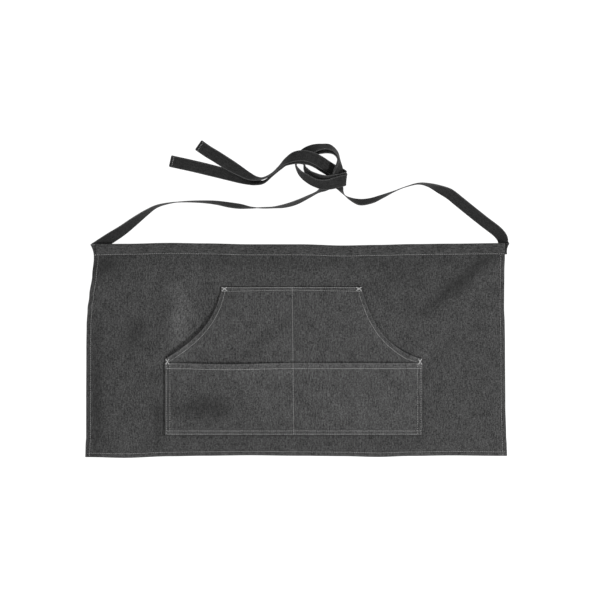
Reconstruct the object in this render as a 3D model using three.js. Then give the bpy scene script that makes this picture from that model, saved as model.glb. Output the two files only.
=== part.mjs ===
// A waist apron of dark denim, lying flat: panel, waistband, two pocket layers and two knotted ties.
// Millimetres. X runs along the waist, Y from hem to waistband, Z up from the floor.
// The origin is on the panel's underside, below the middle of the apron.
import * as THREE from 'three';

// Cloth and joins
const CLOTH = 1.1;
const TIE_THICKNESS = 1.6;
const GAP = 0.3;
const FLOOR_GAP = 0.1;
const STEP_RUN = 0.8;

// Panel
const HEM_WIDTH = 716;
const PANEL_HEIGHT = 359;
const LEFT_TAPER = 14.8;
const RIGHT_TAPER = 5.8;
const SIDE_HEM = 7.4;
const BOTTOM_HEM = 6.4;
const HEM_WAVE = 2.2;
const WAIST_WAVE = 2.4;
const FOLD_HEIGHT = 4.5;
const FOLD_CLEAR_OF_POCKETS = 30;

// Waistband
const BAND_HEIGHT = 19.2;
const BAND_LIFT_LEFT = 3.6;
const BAND_LIFT_RIGHT = 8;
const BAND_LIFT_FLAT = 30;
const BAND_LIFT_RUN = 45;
const BAND_BLEND = 26;
const BAND_CORNER = 0.5;
const CORNER_TUCK = 6;

// Pockets
const POCKET_WIDTH = 438;
const POCKET_OFF_CENTRE = -4.5;
const POCKET_ABOVE_HEM = 35.7;
const FRONT_POCKET_HEIGHT = 122;
const KANGAROO_HEIGHT = 252.5;
const STRAIGHT_SIDE_HEIGHT = 129.7;
const KANGAROO_TOP_WIDTH = 238.5;
const KANGAROO_TOP_OFF_CENTRE = -8.2;
const CENTRE_SEAM_LEAN = 2.6;
const SEAM_WIDTH = 5;
const LEFT_BOW = 18.8;
const LEFT_BOW_SKEW = 0.22;
const RIGHT_BOW = 23.8;
const RIGHT_BOW_SKEW = -0.16;
const KANGAROO_PUFF = 6;
const FRONT_PUFF = 5.8;
const FRONT_PUFF_CURVE = 0.4;

// How finely the pieces are divided
const PANEL_COLUMNS = 44;
const PANEL_ROWS = 21;
const BAND_SECTIONS = 44;
const STRAIGHT_ROWS = 6;
const MOUTH_ROWS = 9;
const HALF_POCKET_COLUMNS = 6;

// Ties
const TIE_WIDTH = 19.2;
const ROUTE_GRID_WIDTH = 1.7;
const ROUTE_GRID_HEIGHT = 1;
const WAIST_ABOVE_ROUTES = 179.1;
const STATION_SPACING = 7;
const STATIONS_PER_ROW = 2;
const ROOT_GAP = 0.4;
const LEFT_ROOT_HEADING_IN = 180;
const LEFT_ROOT_HEADING_OUT = 35;
const KNOT_FOLD_IN = 13;
const KNOT_FOLD_OUT = 152;
const FOLD_ROWS = 4;

const CLOTH_ROUGHNESS = 0.92;
const COLOURS = {
  panel: '#474747',
  waistband: '#434343',
  pocket_kangaroo: '#494949',
  pocket_front: '#4a4a4a',
  tie_left: '#3c3c3c',
  tie_right: '#3c3c3c',
};

const radians = THREE.MathUtils.degToRad;
const clamp = THREE.MathUtils.clamp;
const lerp = THREE.MathUtils.lerp;
const smooth = (value) => THREE.MathUtils.smoothstep(value, 0, 1);

function table(names, rows) {
  return rows.map((row) => Object.fromEntries(names.map((name, i) => [name, row[i]])));
}

// A value read from a table: smooth between the rows, by the column named key.
function read(rows, key, column, at) {
  const last = rows.length - 1;
  if (at <= rows[0][key]) return rows[0][column];
  if (at >= rows[last][key]) return rows[last][column];
  const i = rows.findIndex((row) => row[key] > at);
  const share = (at - rows[i - 1][key]) / (rows[i][key] - rows[i - 1][key]);
  return lerp(rows[i - 1][column], rows[i][column], smooth(share));
}

// How far each side edge lies inside the hem's width, as a share of its taper; up is a share of the height.
const SIDE_INSET = table(['up', 'left', 'right'], [
  [0.0, 0.0, 0.15],
  [0.05, 0.03, 0.24],
  [0.1, 0.1, 0.42],
  [0.24, 0.1, 0.64],
  [0.52, 0.12, 0.74],
  [0.62, 0.15, 0.82],
  [0.7, 0.26, 1.0],
  [0.76, 0.46, 0.97],
  [0.86, 0.8, 0.92],
  [0.94, 1.0, 0.88],
]);

// The wave of the hem and of the waist: across is a share of the half width, and the waves are shares
// of HEM_WAVE and WAIST_WAVE.
const EDGE_WAVE = table(['across', 'hem', 'waist'], [
  [-0.98, -0.46, -0.2],
  [-0.81, -1.0, 0.2],
  [-0.6, 0.2, 0.86],
  [-0.43, 0.6, 0.5],
  [-0.22, 0.96, -0.14],
  [0.02, 0.58, -0.14],
  [0.22, 0.3, -1.0],
  [0.38, -0.3, -0.6],
  [0.55, 0.46, 0.0],
  [0.73, 0.84, 0.3],
  [0.95, 0.54, 0.6],
]);

// Soft ridges of the panel: place as shares of the half width and the height, heading in degrees,
// reach along and across the ridge as shares of the height, rise as a share of FOLD_HEIGHT.
const PANEL_FOLDS = table(['across', 'up', 'heading', 'along', 'wide', 'rise'], [
  [-0.57, 0.65, 88, 0.2, 0.042, 1.0],
  [-0.84, 0.1, 82, 0.13, 0.06, 0.75],
  [-0.88, 0.55, 95, 0.26, 0.05, 0.6],
  [-0.71, 0.26, 100, 0.16, 0.045, 0.7],
  [-0.9, 0.86, 60, 0.1, 0.05, 0.7],
  [0.75, 0.9, 140, 0.15, 0.045, 0.75],
  [0.86, 0.72, 125, 0.16, 0.055, 0.8],
  [0.7, 0.3, 75, 0.2, 0.05, 0.6],
  [0.93, 0.3, 95, 0.22, 0.04, 0.5],
  [0.42, 0.04, 90, 0.06, 0.06, 0.5],
  [-0.1, 0.04, 90, 0.05, 0.09, 0.3],
  [0.02, 0.87, 2, 0.6, 0.03, 0.4],
]);

const TIE_COLUMNS = ['x', 'y', 'level', 'side', 'lean', 'spread', 'slide'];

// The ties' routes. x and y count ROUTE_GRID_WIDTH, y from a line WAIST_ABOVE_ROUTES below the waist;
// level, the height of the strip's lowest edge, and spread and slide count ROUTE_GRID_HEIGHT;
// side is the plan heading of the strip's width and lean how far that width is tipped up.
const LEFT_WAY_IN = table(TIE_COLUMNS, [
  [-187.2, 111.0, 0.1, 125, 6],
  [-173.6, 119.6, 0.1, 124, 27],
  [-159.5, 130.1, 0.1, 125, 48],
  [-148.4, 138.1, 0.1, 126, 66],
  [-139.0, 143.6, 0.1, 118, 80],
  [-124.0, 147.2, 0.1, 100, 90],
  [-111.0, 148.2, 0.1, 272, 85],
  [-94.0, 148.2, 0.1, 268, 78],
  [-80.0, 147.2, 0.1, 263, 70],
  [-66.0, 144.9, 0.1, 261, 62],
  [-55.3, 143.5, 0.1, 263, 65],
  [-46.3, 142.4, 0.1, 266, 80],
  [-35.0, 142.1, 0.1, 88, 89],
  [-23.0, 142.5, 0.1, 94, 86],
  [-11.4, 144.1, 0.1, 100, 75],
  [-0.5, 147.3, 0.1, 110, 71],
  [11.0, 152.6, 0.1, 118, 77],
  [20.5, 157.5, 0.1, 121, 82],
  [25.2, 160.6, 0.1, 125, 66],
  [30.6, 164.4, 0.3, 130, 40],
  [36.0, 168.8, 2.4, 148, 20],
]);

const RIGHT_WAY_IN = table(TIE_COLUMNS, [
  [209.2, 101.3, 8.6, 84, 6],
  [209.5, 102.1, 4.4, 72, 12],
  [208.2, 103.6, 0.8, 52, 20],
  [206.4, 106.2, 0.1, 36, 26],
  [205.4, 111.6, 0.1, 34, 17],
  [201.5, 117.2, 0.1, 46, 6],
  [187.1, 128.6, 0.1, 51, 4],
  [174.0, 139.0, 0.1, 52, 5],
  [161.6, 149.0, 0.1, 51, 10],
  [152.6, 156.0, 0.1, 56, 20],
  [142.4, 160.8, 0.1, 64, 48],
  [132.2, 164.7, 0.1, 74, 73],
  [122.0, 166.2, 0.1, 90, 86],
  [108.5, 162.9, 0.1, 292, 89],
  [97.5, 158.6, 0.1, 293, 86],
  [84.0, 152.8, 0.1, 293, 70],
  [74.5, 149.2, 0.1, 285, 60],
  [63.0, 147.8, 0.1, 262, 56],
  [54.3, 150.7, 0.1, 235, 74],
  [48.2, 154.6, 0.1, 217, 88],
  [44.6, 159.4, 0.1, 208, 70],
  [42.4, 163.4, 0.6, 195, 44],
  [41.2, 167.8, 5.8, 184, 26],
]);

// Both ties together, round the knot as far as the fold at its right side.
const KNOT_LOOP = table(TIE_COLUMNS, [
  [40.5, 173.0, 5.6, 176, 24, 2.4, 0],
  [41.5, 178.5, 5.2, 178, 40, 2.6, 0],
  [42.5, 183.5, 3.9, 180, 60, 3.0, 0],
  [42.2, 190.0, 1.5, 188, 84, 3.7, 0],
  [39.0, 196.7, 0.3, 215, 74, 5.0, 0],
  [32.7, 200.7, 0.1, 245, 62, 7.5, 0],
  [25.0, 200.9, 0.1, 272, 57, 8.0, 0],
  [15.5, 199.5, 0.1, 290, 35, 5.0, 0],
  [8.5, 195.7, 0.1, 312, 20, 4.6, 0],
  [4.3, 190.7, 0.1, 338, 50, 8.0, 0],
  [3.5, 185.5, 0.1, 362, 85, 14.0, 0],
  [6.3, 178.7, 0.1, 390, 70, 12.0, 0],
  [12.5, 172.8, 4.0, 412, 54, 9.5, 1.0],
  [21.5, 168.5, 13.5, 434, 45, 8.0, 5.0],
  [30.0, 167.0, 14.5, 455, 28, 4.8, 5.5],
  [38.0, 168.1, 15.0, 463, 8, 3.2, 4.6],
]);

const KNOT_FOLD = { x: 44.3, y: 169.5, upper: 15.0, lower: 0.1, spread: 2.6, slide: 3.6 };

// Both ties together, from the fold over the loop to where they part.
const KNOT_TAIL = table(TIE_COLUMNS, [
  [35.5, 179.4, 0.5, 60, 0, 2.2, 3.8],
  [28.8, 183.2, 7.0, 57, 0, 2.2, 4.2],
  [22.2, 187.3, 15.0, 56, 0, 2.2, 4.4],
  [14.8, 190.7, 19.0, 70, -4, 2.2, 4.6],
  [7.0, 192.1, 20.5, 88, -10, 2.4, 5.0],
  [-1.8, 191.6, 14.5, 107, -30, 2.8, 3.0],
  [-10.0, 188.1, 3.5, 121, -60, 4.0, 1.0],
  [-16.5, 182.0, 0.3, 132, -76, 5.0, 0],
  [-24.5, 175.0, 0.1, 130, -81, 4.5, 0],
]);

const LEFT_WAY_OUT = table(TIE_COLUMNS, [
  [-34.0, 171.3, 0.3, 110, -78],
  [-41.0, 171.5, 0.4, 85, -65],
  [-47.5, 173.7, 0.8, 65, -48],
  [-56.0, 178.5, 1.2, 59, -33],
  [-70.0, 187.0, 2.2, 57, -5],
  [-80.0, 193.4, 1.9, 56, 0],
  [-88.4, 198.5, 0.3, 56, 0],
  [-97.9, 205.1, 0.1, 56, 0],
]);

const RIGHT_WAY_OUT = table(TIE_COLUMNS, [
  [-33.5, 167.5, 0.1, 108, -72],
  [-41.0, 168.0, 0.1, 86, -50],
  [-47.0, 169.8, 0.1, 78, -30],
  [-56.0, 172.1, 0.1, 76, -12],
  [-70.9, 176.0, 0.1, 76, 0],
  [-97.7, 182.7, 0.1, 77, 0],
  [-126.0, 189.0, 0.1, 77, 0],
]);

// Panel outline
const hemHalf = HEM_WIDTH / 2;
const panelTop = PANEL_HEIGHT / 2;
const panelBottom = -PANEL_HEIGHT / 2;
const bandLow = panelTop + CLOTH + GAP - BAND_HEIGHT;
const bandThickness = 4 * CLOTH + 2 * GAP;

// Pocket outline
const pocketLeft = POCKET_OFF_CENTRE - POCKET_WIDTH / 2;
const pocketRight = POCKET_OFF_CENTRE + POCKET_WIDTH / 2;
const pocketBottom = panelBottom + POCKET_ABOVE_HEM;
const frontTop = pocketBottom + FRONT_POCKET_HEIGHT;
const mouthFoot = pocketBottom + STRAIGHT_SIDE_HEIGHT;
const kangarooTop = pocketBottom + KANGAROO_HEIGHT;
const kangarooTopLeft = KANGAROO_TOP_OFF_CENTRE - KANGAROO_TOP_WIDTH / 2;
const kangarooTopRight = KANGAROO_TOP_OFF_CENTRE + KANGAROO_TOP_WIDTH / 2;

function sideEdge(side, up) {
  const taper = side === 'left' ? LEFT_TAPER : RIGHT_TAPER;
  const inset = read(SIDE_INSET, 'up', side, up) * taper;
  return side === 'left' ? inset - hemHalf : hemHalf - inset;
}

function edgeWave(column, x) {
  return read(EDGE_WAVE, 'across', column, x / hemHalf) * (column === 'hem' ? HEM_WAVE : WAIST_WAVE);
}

function bandEnd(side) {
  const edge = sideEdge(side, 1);
  return side === 'left' ? edge + CORNER_TUCK / 2 : edge + GAP;
}

// Height of the waistband's underside: its ends are lifted by the ties folded under them.
function bandFloor(x) {
  const toLeft = clamp((x - bandEnd('left') - BAND_LIFT_FLAT) / BAND_LIFT_RUN, 0, 1);
  const toRight = clamp((bandEnd('right') - x) / (BAND_LIFT_FLAT + BAND_LIFT_RUN), 0, 1);
  return BAND_LIFT_LEFT * (1 - smooth(toLeft)) + BAND_LIFT_RIGHT * (1 - smooth(toRight));
}

function mouthPoint(side, share) {
  const left = side === 'left';
  const foot = new THREE.Vector2(left ? pocketLeft : pocketRight, mouthFoot);
  const head = new THREE.Vector2(left ? kangarooTopLeft : kangarooTopRight, kangarooTop);
  const bow = left ? LEFT_BOW : RIGHT_BOW;
  const skew = left ? LEFT_BOW_SKEW : RIGHT_BOW_SKEW;
  const chord = head.clone().sub(foot);
  const inward = new THREE.Vector2(chord.y, -chord.x).normalize().multiplyScalar(left ? 1 : -1);
  const offset = bow * 4 * share * (1 - share) * (1 + skew * (2 * share - 1));
  return foot.addScaledVector(chord, share).addScaledVector(inward, offset);
}

// 0 on the pockets, where the cloth lies flat, rising to 1 away from them.
function freeCloth(x, y) {
  const share = clamp((y - mouthFoot) / (kangarooTop - mouthFoot), 0, 1);
  const beyondLeft = mouthPoint('left', share).x - x;
  const beyondRight = x - mouthPoint('right', share).x;
  const aside = Math.max(beyondLeft, beyondRight, 0);
  const above = Math.max(pocketBottom - y, y - kangarooTop, 0);
  return smooth(Math.hypot(aside, above) / FOLD_CLEAR_OF_POCKETS);
}

function panelFloor(x, y) {
  let rise = 0;
  for (const fold of PANEL_FOLDS) {
    const dx = x - fold.across * hemHalf;
    const dy = y - (panelBottom + fold.up * PANEL_HEIGHT);
    const cos = Math.cos(radians(fold.heading));
    const sin = Math.sin(radians(fold.heading));
    const along = (dx * cos + dy * sin) / (fold.along * PANEL_HEIGHT);
    const wide = (dy * cos - dx * sin) / (fold.wide * PANEL_HEIGHT);
    rise += fold.rise * FOLD_HEIGHT * Math.exp(-along * along - wide * wide);
  }
  const inBand = smooth((y - bandLow + BAND_BLEND) / BAND_BLEND);
  const clothFloor = rise * freeCloth(x, y);
  return lerp(clothFloor, bandFloor(x) + CLOTH + GAP, inBand);
}

// Panel coordinates: across and up from 0 to 1, both measured between the curved edges.
function panelPoint(across, up) {
  const tuck = CORNER_TUCK * smooth((up * PANEL_HEIGHT - (bandLow - panelBottom)) / GAP);
  const left = sideEdge('left', up) + tuck;
  const right = sideEdge('right', up) - tuck;
  const x = lerp(left, right, across);
  const y = lerp(panelBottom + edgeWave('hem', x), panelTop + edgeWave('waist', x), up);
  return [x, y];
}

// Grid lines from 0 to 1: a doubled strip at each end, whose step has its own short run.
function gridLines(count, size, startHem, endHem) {
  const start = [0, startHem / size, (startHem + STEP_RUN) / size];
  const end = [1 - (endHem + STEP_RUN) / size, 1 - endHem / size, 1];
  const from = start[2];
  const to = end[0];
  const middle = Array.from({ length: count - 1 }, (_, i) => lerp(from, to, (i + 1) / count));
  return [...start, ...middle, ...end];
}

const isDoubled = (i, lines) => i <= 1 || i >= lines.length - 2;

// A closed cloth wall between a lower and an upper grid of points.
function wall(columns, rows, point) {
  const positions = [];
  const lower = (i, j) => j * columns + i;
  const upper = (i, j) => lower(i, j) + columns * rows;
  const points = [];
  for (let j = 0; j < rows; j++) {
    for (let i = 0; i < columns; i++) points.push(point(i, j));
  }
  for (const p of points) positions.push(p.x, p.y, p.low);
  for (const p of points) positions.push(p.x, p.y, p.high);
  const faces = [];
  const quad = (a, b, c, d) => faces.push(a, b, c, a, c, d);
  for (let j = 0; j < rows - 1; j++) {
    for (let i = 0; i < columns - 1; i++) {
      quad(upper(i, j), upper(i + 1, j), upper(i + 1, j + 1), upper(i, j + 1));
      quad(lower(i, j), lower(i, j + 1), lower(i + 1, j + 1), lower(i + 1, j));
    }
  }
  for (let i = 0; i < columns - 1; i++) {
    quad(lower(i, 0), lower(i + 1, 0), upper(i + 1, 0), upper(i, 0));
    quad(lower(i + 1, rows - 1), lower(i, rows - 1), upper(i, rows - 1), upper(i + 1, rows - 1));
  }
  for (let j = 0; j < rows - 1; j++) {
    quad(lower(0, j + 1), lower(0, j), upper(0, j), upper(0, j + 1));
    quad(lower(columns - 1, j), lower(columns - 1, j + 1), upper(columns - 1, j + 1), upper(columns - 1, j));
  }
  return solid(positions, faces);
}

// A closed loft through sections that all have the same number of points.
// capFaces are the triangles of an end.
function loft(sections, capFaces) {
  const count = sections[0].length;
  const positions = sections.flat().flatMap((p) => [p.x, p.y, p.z]);
  const faces = [];
  for (let s = 0; s < sections.length - 1; s++) {
    for (let k = 0; k < count; k++) {
      const a = s * count + k;
      const b = s * count + ((k + 1) % count);
      faces.push(a, b, b + count, a, b + count, a + count);
    }
  }
  const last = (sections.length - 1) * count;
  for (const [a, b, c] of capFaces) {
    faces.push(a, c, b);
    faces.push(last + a, last + b, last + c);
  }
  return solid(positions, faces);
}

function solid(positions, faces) {
  const geometry = new THREE.BufferGeometry();
  geometry.setAttribute('position', new THREE.Float32BufferAttribute(positions, 3));
  geometry.setIndex(faces);
  geometry.computeVertexNormals();
  return geometry;
}

function makePanel() {
  const acrossLines = gridLines(PANEL_COLUMNS, HEM_WIDTH, SIDE_HEM, SIDE_HEM);
  const inBand = panelTop - bandLow - GAP;
  const upLines = gridLines(PANEL_ROWS, PANEL_HEIGHT, BOTTOM_HEM, inBand);
  return wall(acrossLines.length, upLines.length, (i, j) => {
    const [x, y] = panelPoint(acrossLines[i], upLines[j]);
    const doubled = isDoubled(i, acrossLines) || isDoubled(j, upLines);
    const low = panelFloor(x, y);
    return { x, y, low, high: low + CLOTH * (doubled ? 2 : 1) };
  });
}

// The waistband's section wraps the panel's top edge: a channel that opens towards the hem.
function makeWaistband() {
  const from = bandEnd('left');
  const to = bandEnd('right');
  const sections = [];
  for (let s = 0; s <= BAND_SECTIONS; s++) {
    const x = lerp(from, to, s / BAND_SECTIONS);
    const floor = bandFloor(x);
    const top = panelTop + edgeWave('waist', x) + GAP + CLOTH;
    const low = top - BAND_HEIGHT;
    const roof = floor + bandThickness;
    const profile = [
      [low, floor],
      [top - BAND_CORNER, floor],
      [top, floor + BAND_CORNER],
      [top, roof - BAND_CORNER],
      [top - BAND_CORNER, roof],
      [low, roof],
      [low, roof - CLOTH],
      [top - CLOTH, roof - CLOTH],
      [top - CLOTH, floor + CLOTH],
      [low, floor + CLOTH],
    ];
    sections.push(profile.map(([y, z]) => new THREE.Vector3(x, y, z)));
  }
  const capFaces = [
    [0, 1, 8], [0, 8, 9], [1, 2, 8], [2, 3, 8], [3, 7, 8], [3, 4, 7], [4, 5, 7], [5, 6, 7],
  ];
  return loft(sections, capFaces);
}

// The centre seam leans a little: it starts in the middle of the pocket's bottom.
function centreSeam(y) {
  return POCKET_OFF_CENTRE - (CENTRE_SEAM_LEAN * (y - pocketBottom)) / KANGAROO_HEIGHT;
}

// Pocket coordinates: half -1 to 0 is left of the centre seam and 0 to 1 right of it.
function pocketPoint(half, y, mouthShare) {
  const side = half < 0 ? 'left' : 'right';
  const outer = mouthShare === null ? [half < 0 ? pocketLeft : pocketRight, y]
    : mouthPoint(side, mouthShare).toArray();
  const away = Math.abs(half);
  return [lerp(centreSeam(y), outer[0], away), lerp(y, outer[1], away)];
}

const seamShare = SEAM_WIDTH / (POCKET_WIDTH / 2);

// How far a pocket's cloth stands off between its seams: held at the centre, free at an open side.
function puff(half, up, openness) {
  const away = clamp((Math.abs(half) - seamShare) / (1 - 2 * seamShare), 0, 1);
  const across = Math.sin(Math.PI * away * (1 - openness / 2));
  return across * up;
}

// Columns of one half, from the centre seam to the side; both halves together make a pocket's width.
const halfColumns = [seamShare];
for (let i = 1; i <= HALF_POCKET_COLUMNS; i++) {
  halfColumns.push(lerp(seamShare, 1 - seamShare, i / HALF_POCKET_COLUMNS));
}
halfColumns.push(1);
const pocketHalves = [...halfColumns.map((share) => -share).reverse(), ...halfColumns];

// A row of a pocket: y at the centre seam, the share along the mouth, how far the cloth puffs out
// and how open its side is.
function pocketRow(y, mouth) {
  const height = kangarooTop - pocketBottom - 2 * SEAM_WIDTH;
  const share = clamp((y - pocketBottom - SEAM_WIDTH) / height, 0, 1);
  return {
    y,
    mouth,
    up: Math.sqrt(Math.sin(Math.PI * share)),
    open: mouth === null ? 0 : Math.sqrt(Math.sin(Math.PI * mouth)),
  };
}

// Rows from the bottom seam to a height, both pockets' layers having straight sides there.
function straightRows(top) {
  const rows = [pocketRow(pocketBottom, null)];
  for (let i = 0; i <= STRAIGHT_ROWS; i++) {
    rows.push(pocketRow(lerp(pocketBottom + SEAM_WIDTH, top, i / STRAIGHT_ROWS), null));
  }
  return rows;
}

function kangarooRows() {
  const rows = straightRows(mouthFoot - SEAM_WIDTH);
  for (let i = 0; i <= MOUTH_ROWS; i++) {
    rows.push(pocketRow(lerp(mouthFoot, kangarooTop, i / MOUTH_ROWS), i / MOUTH_ROWS));
  }
  return rows;
}

function kangarooFloor(half, row) {
  return CLOTH + GAP + KANGAROO_PUFF * puff(half, row.up, row.open);
}

function makeKangarooPocket() {
  const rows = kangarooRows();
  return wall(pocketHalves.length, rows.length, (i, j) => {
    const row = rows[j];
    const [x, y] = pocketPoint(pocketHalves[i], row.y, row.mouth);
    const low = kangarooFloor(pocketHalves[i], row);
    return { x, y, low, high: low + CLOTH };
  });
}

// The front layer follows the kangaroo layer below it and stands off towards its open top.
function makeFrontPocket() {
  const rows = straightRows(frontTop);
  return wall(pocketHalves.length, rows.length, (i, j) => {
    const row = rows[j];
    const half = pocketHalves[i];
    const [x, y] = pocketPoint(half, row.y, null);
    const up = clamp((row.y - pocketBottom - SEAM_WIDTH) / (frontTop - pocketBottom), 0, 1);
    const stand = FRONT_PUFF * puff(half, Math.pow(up, FRONT_PUFF_CURVE), 0);
    const low = kangarooFloor(half, row) + CLOTH + GAP + stand;
    return { x, y, low, high: low + CLOTH };
  });
}

const plan = (degrees) => new THREE.Vector3(Math.cos(radians(degrees)), Math.sin(radians(degrees)), 0);

function widthWay(side, lean) {
  const way = plan(side).multiplyScalar(Math.cos(radians(lean)));
  return way.setZ(Math.sin(radians(lean)));
}

function routePlace(x, y) {
  const foot = panelTop - WAIST_ABOVE_ROUTES;
  return new THREE.Vector3(x * ROUTE_GRID_WIDTH, foot + y * ROUTE_GRID_WIDTH, 0);
}

// A row of a route as a place and the way the strip's width points.
function station(row) {
  const spread = (row.spread ?? 0) * ROUTE_GRID_HEIGHT;
  const slide = (row.slide ?? 0) * ROUTE_GRID_HEIGHT;
  const sin = Math.abs(Math.sin(radians(row.lean)));
  const cos = Math.abs(Math.cos(radians(row.lean)));
  const halfWide = (TIE_WIDTH + slide) / 2;
  const halfThick = (TIE_THICKNESS + spread) / 2;
  const z = row.level * ROUTE_GRID_HEIGHT + halfWide * sin + halfThick * cos;
  return {
    place: routePlace(row.x, row.y).setZ(z),
    width: widthWay(row.side, row.lean),
    spread,
    slide,
  };
}

// Stations round a fold: the strip rolls under about an axis between its two headings.
function foldStations(start, headingIn, headingOut, radius, extra) {
  const axisHeading = (headingIn + headingOut) / 2;
  const turnsLeft = headingOut > headingIn ? 1 : -1;
  const theta = radians(Math.abs(headingIn - axisHeading));
  const axis = plan(axisHeading);
  const outward = plan(axisHeading - 90 * turnsLeft);
  const stations = [];
  for (let i = 0; i <= FOLD_ROWS; i++) {
    const phi = (Math.PI * i) / FOLD_ROWS;
    const place = start.clone()
      .addScaledVector(axis, (radius * phi) / Math.tan(theta))
      .addScaledVector(outward, radius * Math.sin(phi));
    place.z -= radius * (1 - Math.cos(phi));
    const width = axis.clone().multiplyScalar(Math.sin(theta))
      .addScaledVector(outward, -Math.cos(theta) * Math.cos(phi));
    width.z += Math.cos(theta) * Math.sin(phi);
    stations.push({ place, width, ...extra });
  }
  return stations;
}

// Frames along a route: place, width and thickness ways at close steps, none of them below the floor.
function frames(stations) {
  const places = new THREE.CatmullRomCurve3(stations.map((s) => s.place), false, 'centripetal');
  const widths = new THREE.CatmullRomCurve3(stations.map((s) => s.width), false, 'catmullrom', 0.5);
  const last = stations.length - 1;
  const result = [];
  for (let i = 0; i < last; i++) {
    const length = stations[i].place.distanceTo(stations[i + 1].place);
    const count = Math.max(STATIONS_PER_ROW, Math.ceil(length / STATION_SPACING));
    for (let k = 0; k < count; k++) result.push((i + k / count) / last);
  }
  result.push(1);
  return result.map((t) => {
    const place = places.getPoint(t);
    const ahead = places.getTangent(t);
    const width = widths.getPoint(t);
    width.addScaledVector(ahead, -width.dot(ahead)).normalize();
    const normal = ahead.clone().cross(width).normalize();
    const reach = (Math.abs(width.z) * TIE_WIDTH + Math.abs(normal.z) * TIE_THICKNESS) / 2;
    place.z = Math.max(place.z, FLOOR_GAP + reach);
    return { place, width, normal };
  });
}

// One tie's stations where both run together: the pair is set apart through its thickness and slid edgewise.
function offsetPair(pair, sign) {
  const places = new THREE.CatmullRomCurve3(pair.map((s) => s.place), false, 'centripetal');
  return pair.map((s, i) => {
    const ahead = places.getTangent(i / (pair.length - 1));
    const width = s.width.clone().addScaledVector(ahead, -s.width.dot(ahead)).normalize();
    const normal = ahead.clone().cross(width);
    const place = s.place.clone()
      .addScaledVector(normal, (sign * s.spread) / 2)
      .addScaledVector(width, (-sign * s.slide) / 2);
    return { place, width };
  });
}

function knotStations(sign) {
  const spread = KNOT_FOLD.spread * ROUTE_GRID_HEIGHT;
  const slide = KNOT_FOLD.slide * ROUTE_GRID_HEIGHT;
  const start = routePlace(KNOT_FOLD.x, KNOT_FOLD.y);
  start.z = KNOT_FOLD.upper * ROUTE_GRID_HEIGHT + (TIE_THICKNESS + spread) / 2;
  const radius = ((KNOT_FOLD.upper - KNOT_FOLD.lower) * ROUTE_GRID_HEIGHT) / 2;
  const extra = { spread, slide };
  const pair = [
    ...KNOT_LOOP.map(station),
    ...foldStations(start, KNOT_FOLD_IN, KNOT_FOLD_OUT, radius, extra),
    ...KNOT_TAIL.map(station),
  ];
  return offsetPair(pair, sign);
}

function rootHeight(side) {
  return bandFloor(bandEnd(side)) + bandThickness / 2;
}

function bandMiddle(x) {
  return panelTop + edgeWave('waist', x) + GAP + CLOTH - BAND_HEIGHT / 2;
}

function leftTieStations() {
  const end = bandEnd('left');
  const height = rootHeight('left');
  const middle = bandMiddle(end);
  const first = { place: new THREE.Vector3(end - ROOT_GAP, middle, height), width: plan(90) };
  const start = new THREE.Vector3(end - 2 * ROOT_GAP - STEP_RUN, middle, height);
  const radius = (height - TIE_THICKNESS / 2 - FLOOR_GAP) / 2;
  const fold = foldStations(start, LEFT_ROOT_HEADING_IN, LEFT_ROOT_HEADING_OUT, radius, {});
  return [
    first, ...fold, ...LEFT_WAY_IN.map(station), ...knotStations(-1), ...LEFT_WAY_OUT.map(station),
  ];
}

function rightTieStations() {
  const end = bandEnd('right');
  const first = {
    place: new THREE.Vector3(end + ROOT_GAP, bandMiddle(end), rootHeight('right')),
    width: plan(90),
  };
  return [first, ...RIGHT_WAY_IN.map(station), ...knotStations(1), ...RIGHT_WAY_OUT.map(station)];
}

function makeTie(stations) {
  const sections = frames(stations).map(({ place, width, normal }) => {
    const corner = (w, n) => place.clone()
      .addScaledVector(width, (w * TIE_WIDTH) / 2)
      .addScaledVector(normal, (n * TIE_THICKNESS) / 2);
    return [corner(-1, -1), corner(1, -1), corner(1, 1), corner(-1, 1)];
  });
  return loft(sections, [[0, 1, 2], [0, 2, 3]]);
}

function piece(name, geometry) {
  const material = new THREE.MeshStandardMaterial({
    color: COLOURS[name],
    roughness: CLOTH_ROUGHNESS,
    metalness: 0,
  });
  const mesh = new THREE.Mesh(geometry, material);
  mesh.name = name;
  return mesh;
}

const apron = new THREE.Group();
apron.name = 'waist_apron';
apron.add(
  piece('panel', makePanel()),
  piece('waistband', makeWaistband()),
  piece('pocket_kangaroo', makeKangarooPocket()),
  piece('pocket_front', makeFrontPocket()),
  piece('tie_left', makeTie(leftTieStations())),
  piece('tie_right', makeTie(rightTieStations())),
);

export default apron;
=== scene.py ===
import math

import bpy
import numpy as np
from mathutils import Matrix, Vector


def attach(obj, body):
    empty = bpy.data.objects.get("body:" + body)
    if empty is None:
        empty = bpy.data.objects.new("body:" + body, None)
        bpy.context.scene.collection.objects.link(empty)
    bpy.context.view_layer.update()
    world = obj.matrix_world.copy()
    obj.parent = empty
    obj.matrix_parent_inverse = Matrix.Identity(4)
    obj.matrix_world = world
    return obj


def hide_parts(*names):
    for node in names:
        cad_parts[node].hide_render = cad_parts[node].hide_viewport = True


# A waist apron of dark denim lying flat on a pale floor, seen from straight above.
# The sizes are in millimetres, as in the part's source, and every mesh is written in metres.
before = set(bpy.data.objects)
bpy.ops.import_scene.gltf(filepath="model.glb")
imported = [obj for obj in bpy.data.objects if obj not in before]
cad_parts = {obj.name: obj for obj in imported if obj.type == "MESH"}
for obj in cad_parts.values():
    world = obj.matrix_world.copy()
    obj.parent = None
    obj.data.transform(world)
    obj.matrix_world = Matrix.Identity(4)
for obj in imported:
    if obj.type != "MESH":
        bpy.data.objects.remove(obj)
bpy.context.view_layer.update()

MM = 0.001
SEED = 20

# Cloth and joins, as in the part
CLOTH = 1.1
TIE_THICKNESS = 1.6
GAP = 0.3
FLOOR_GAP = 0.1

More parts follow.
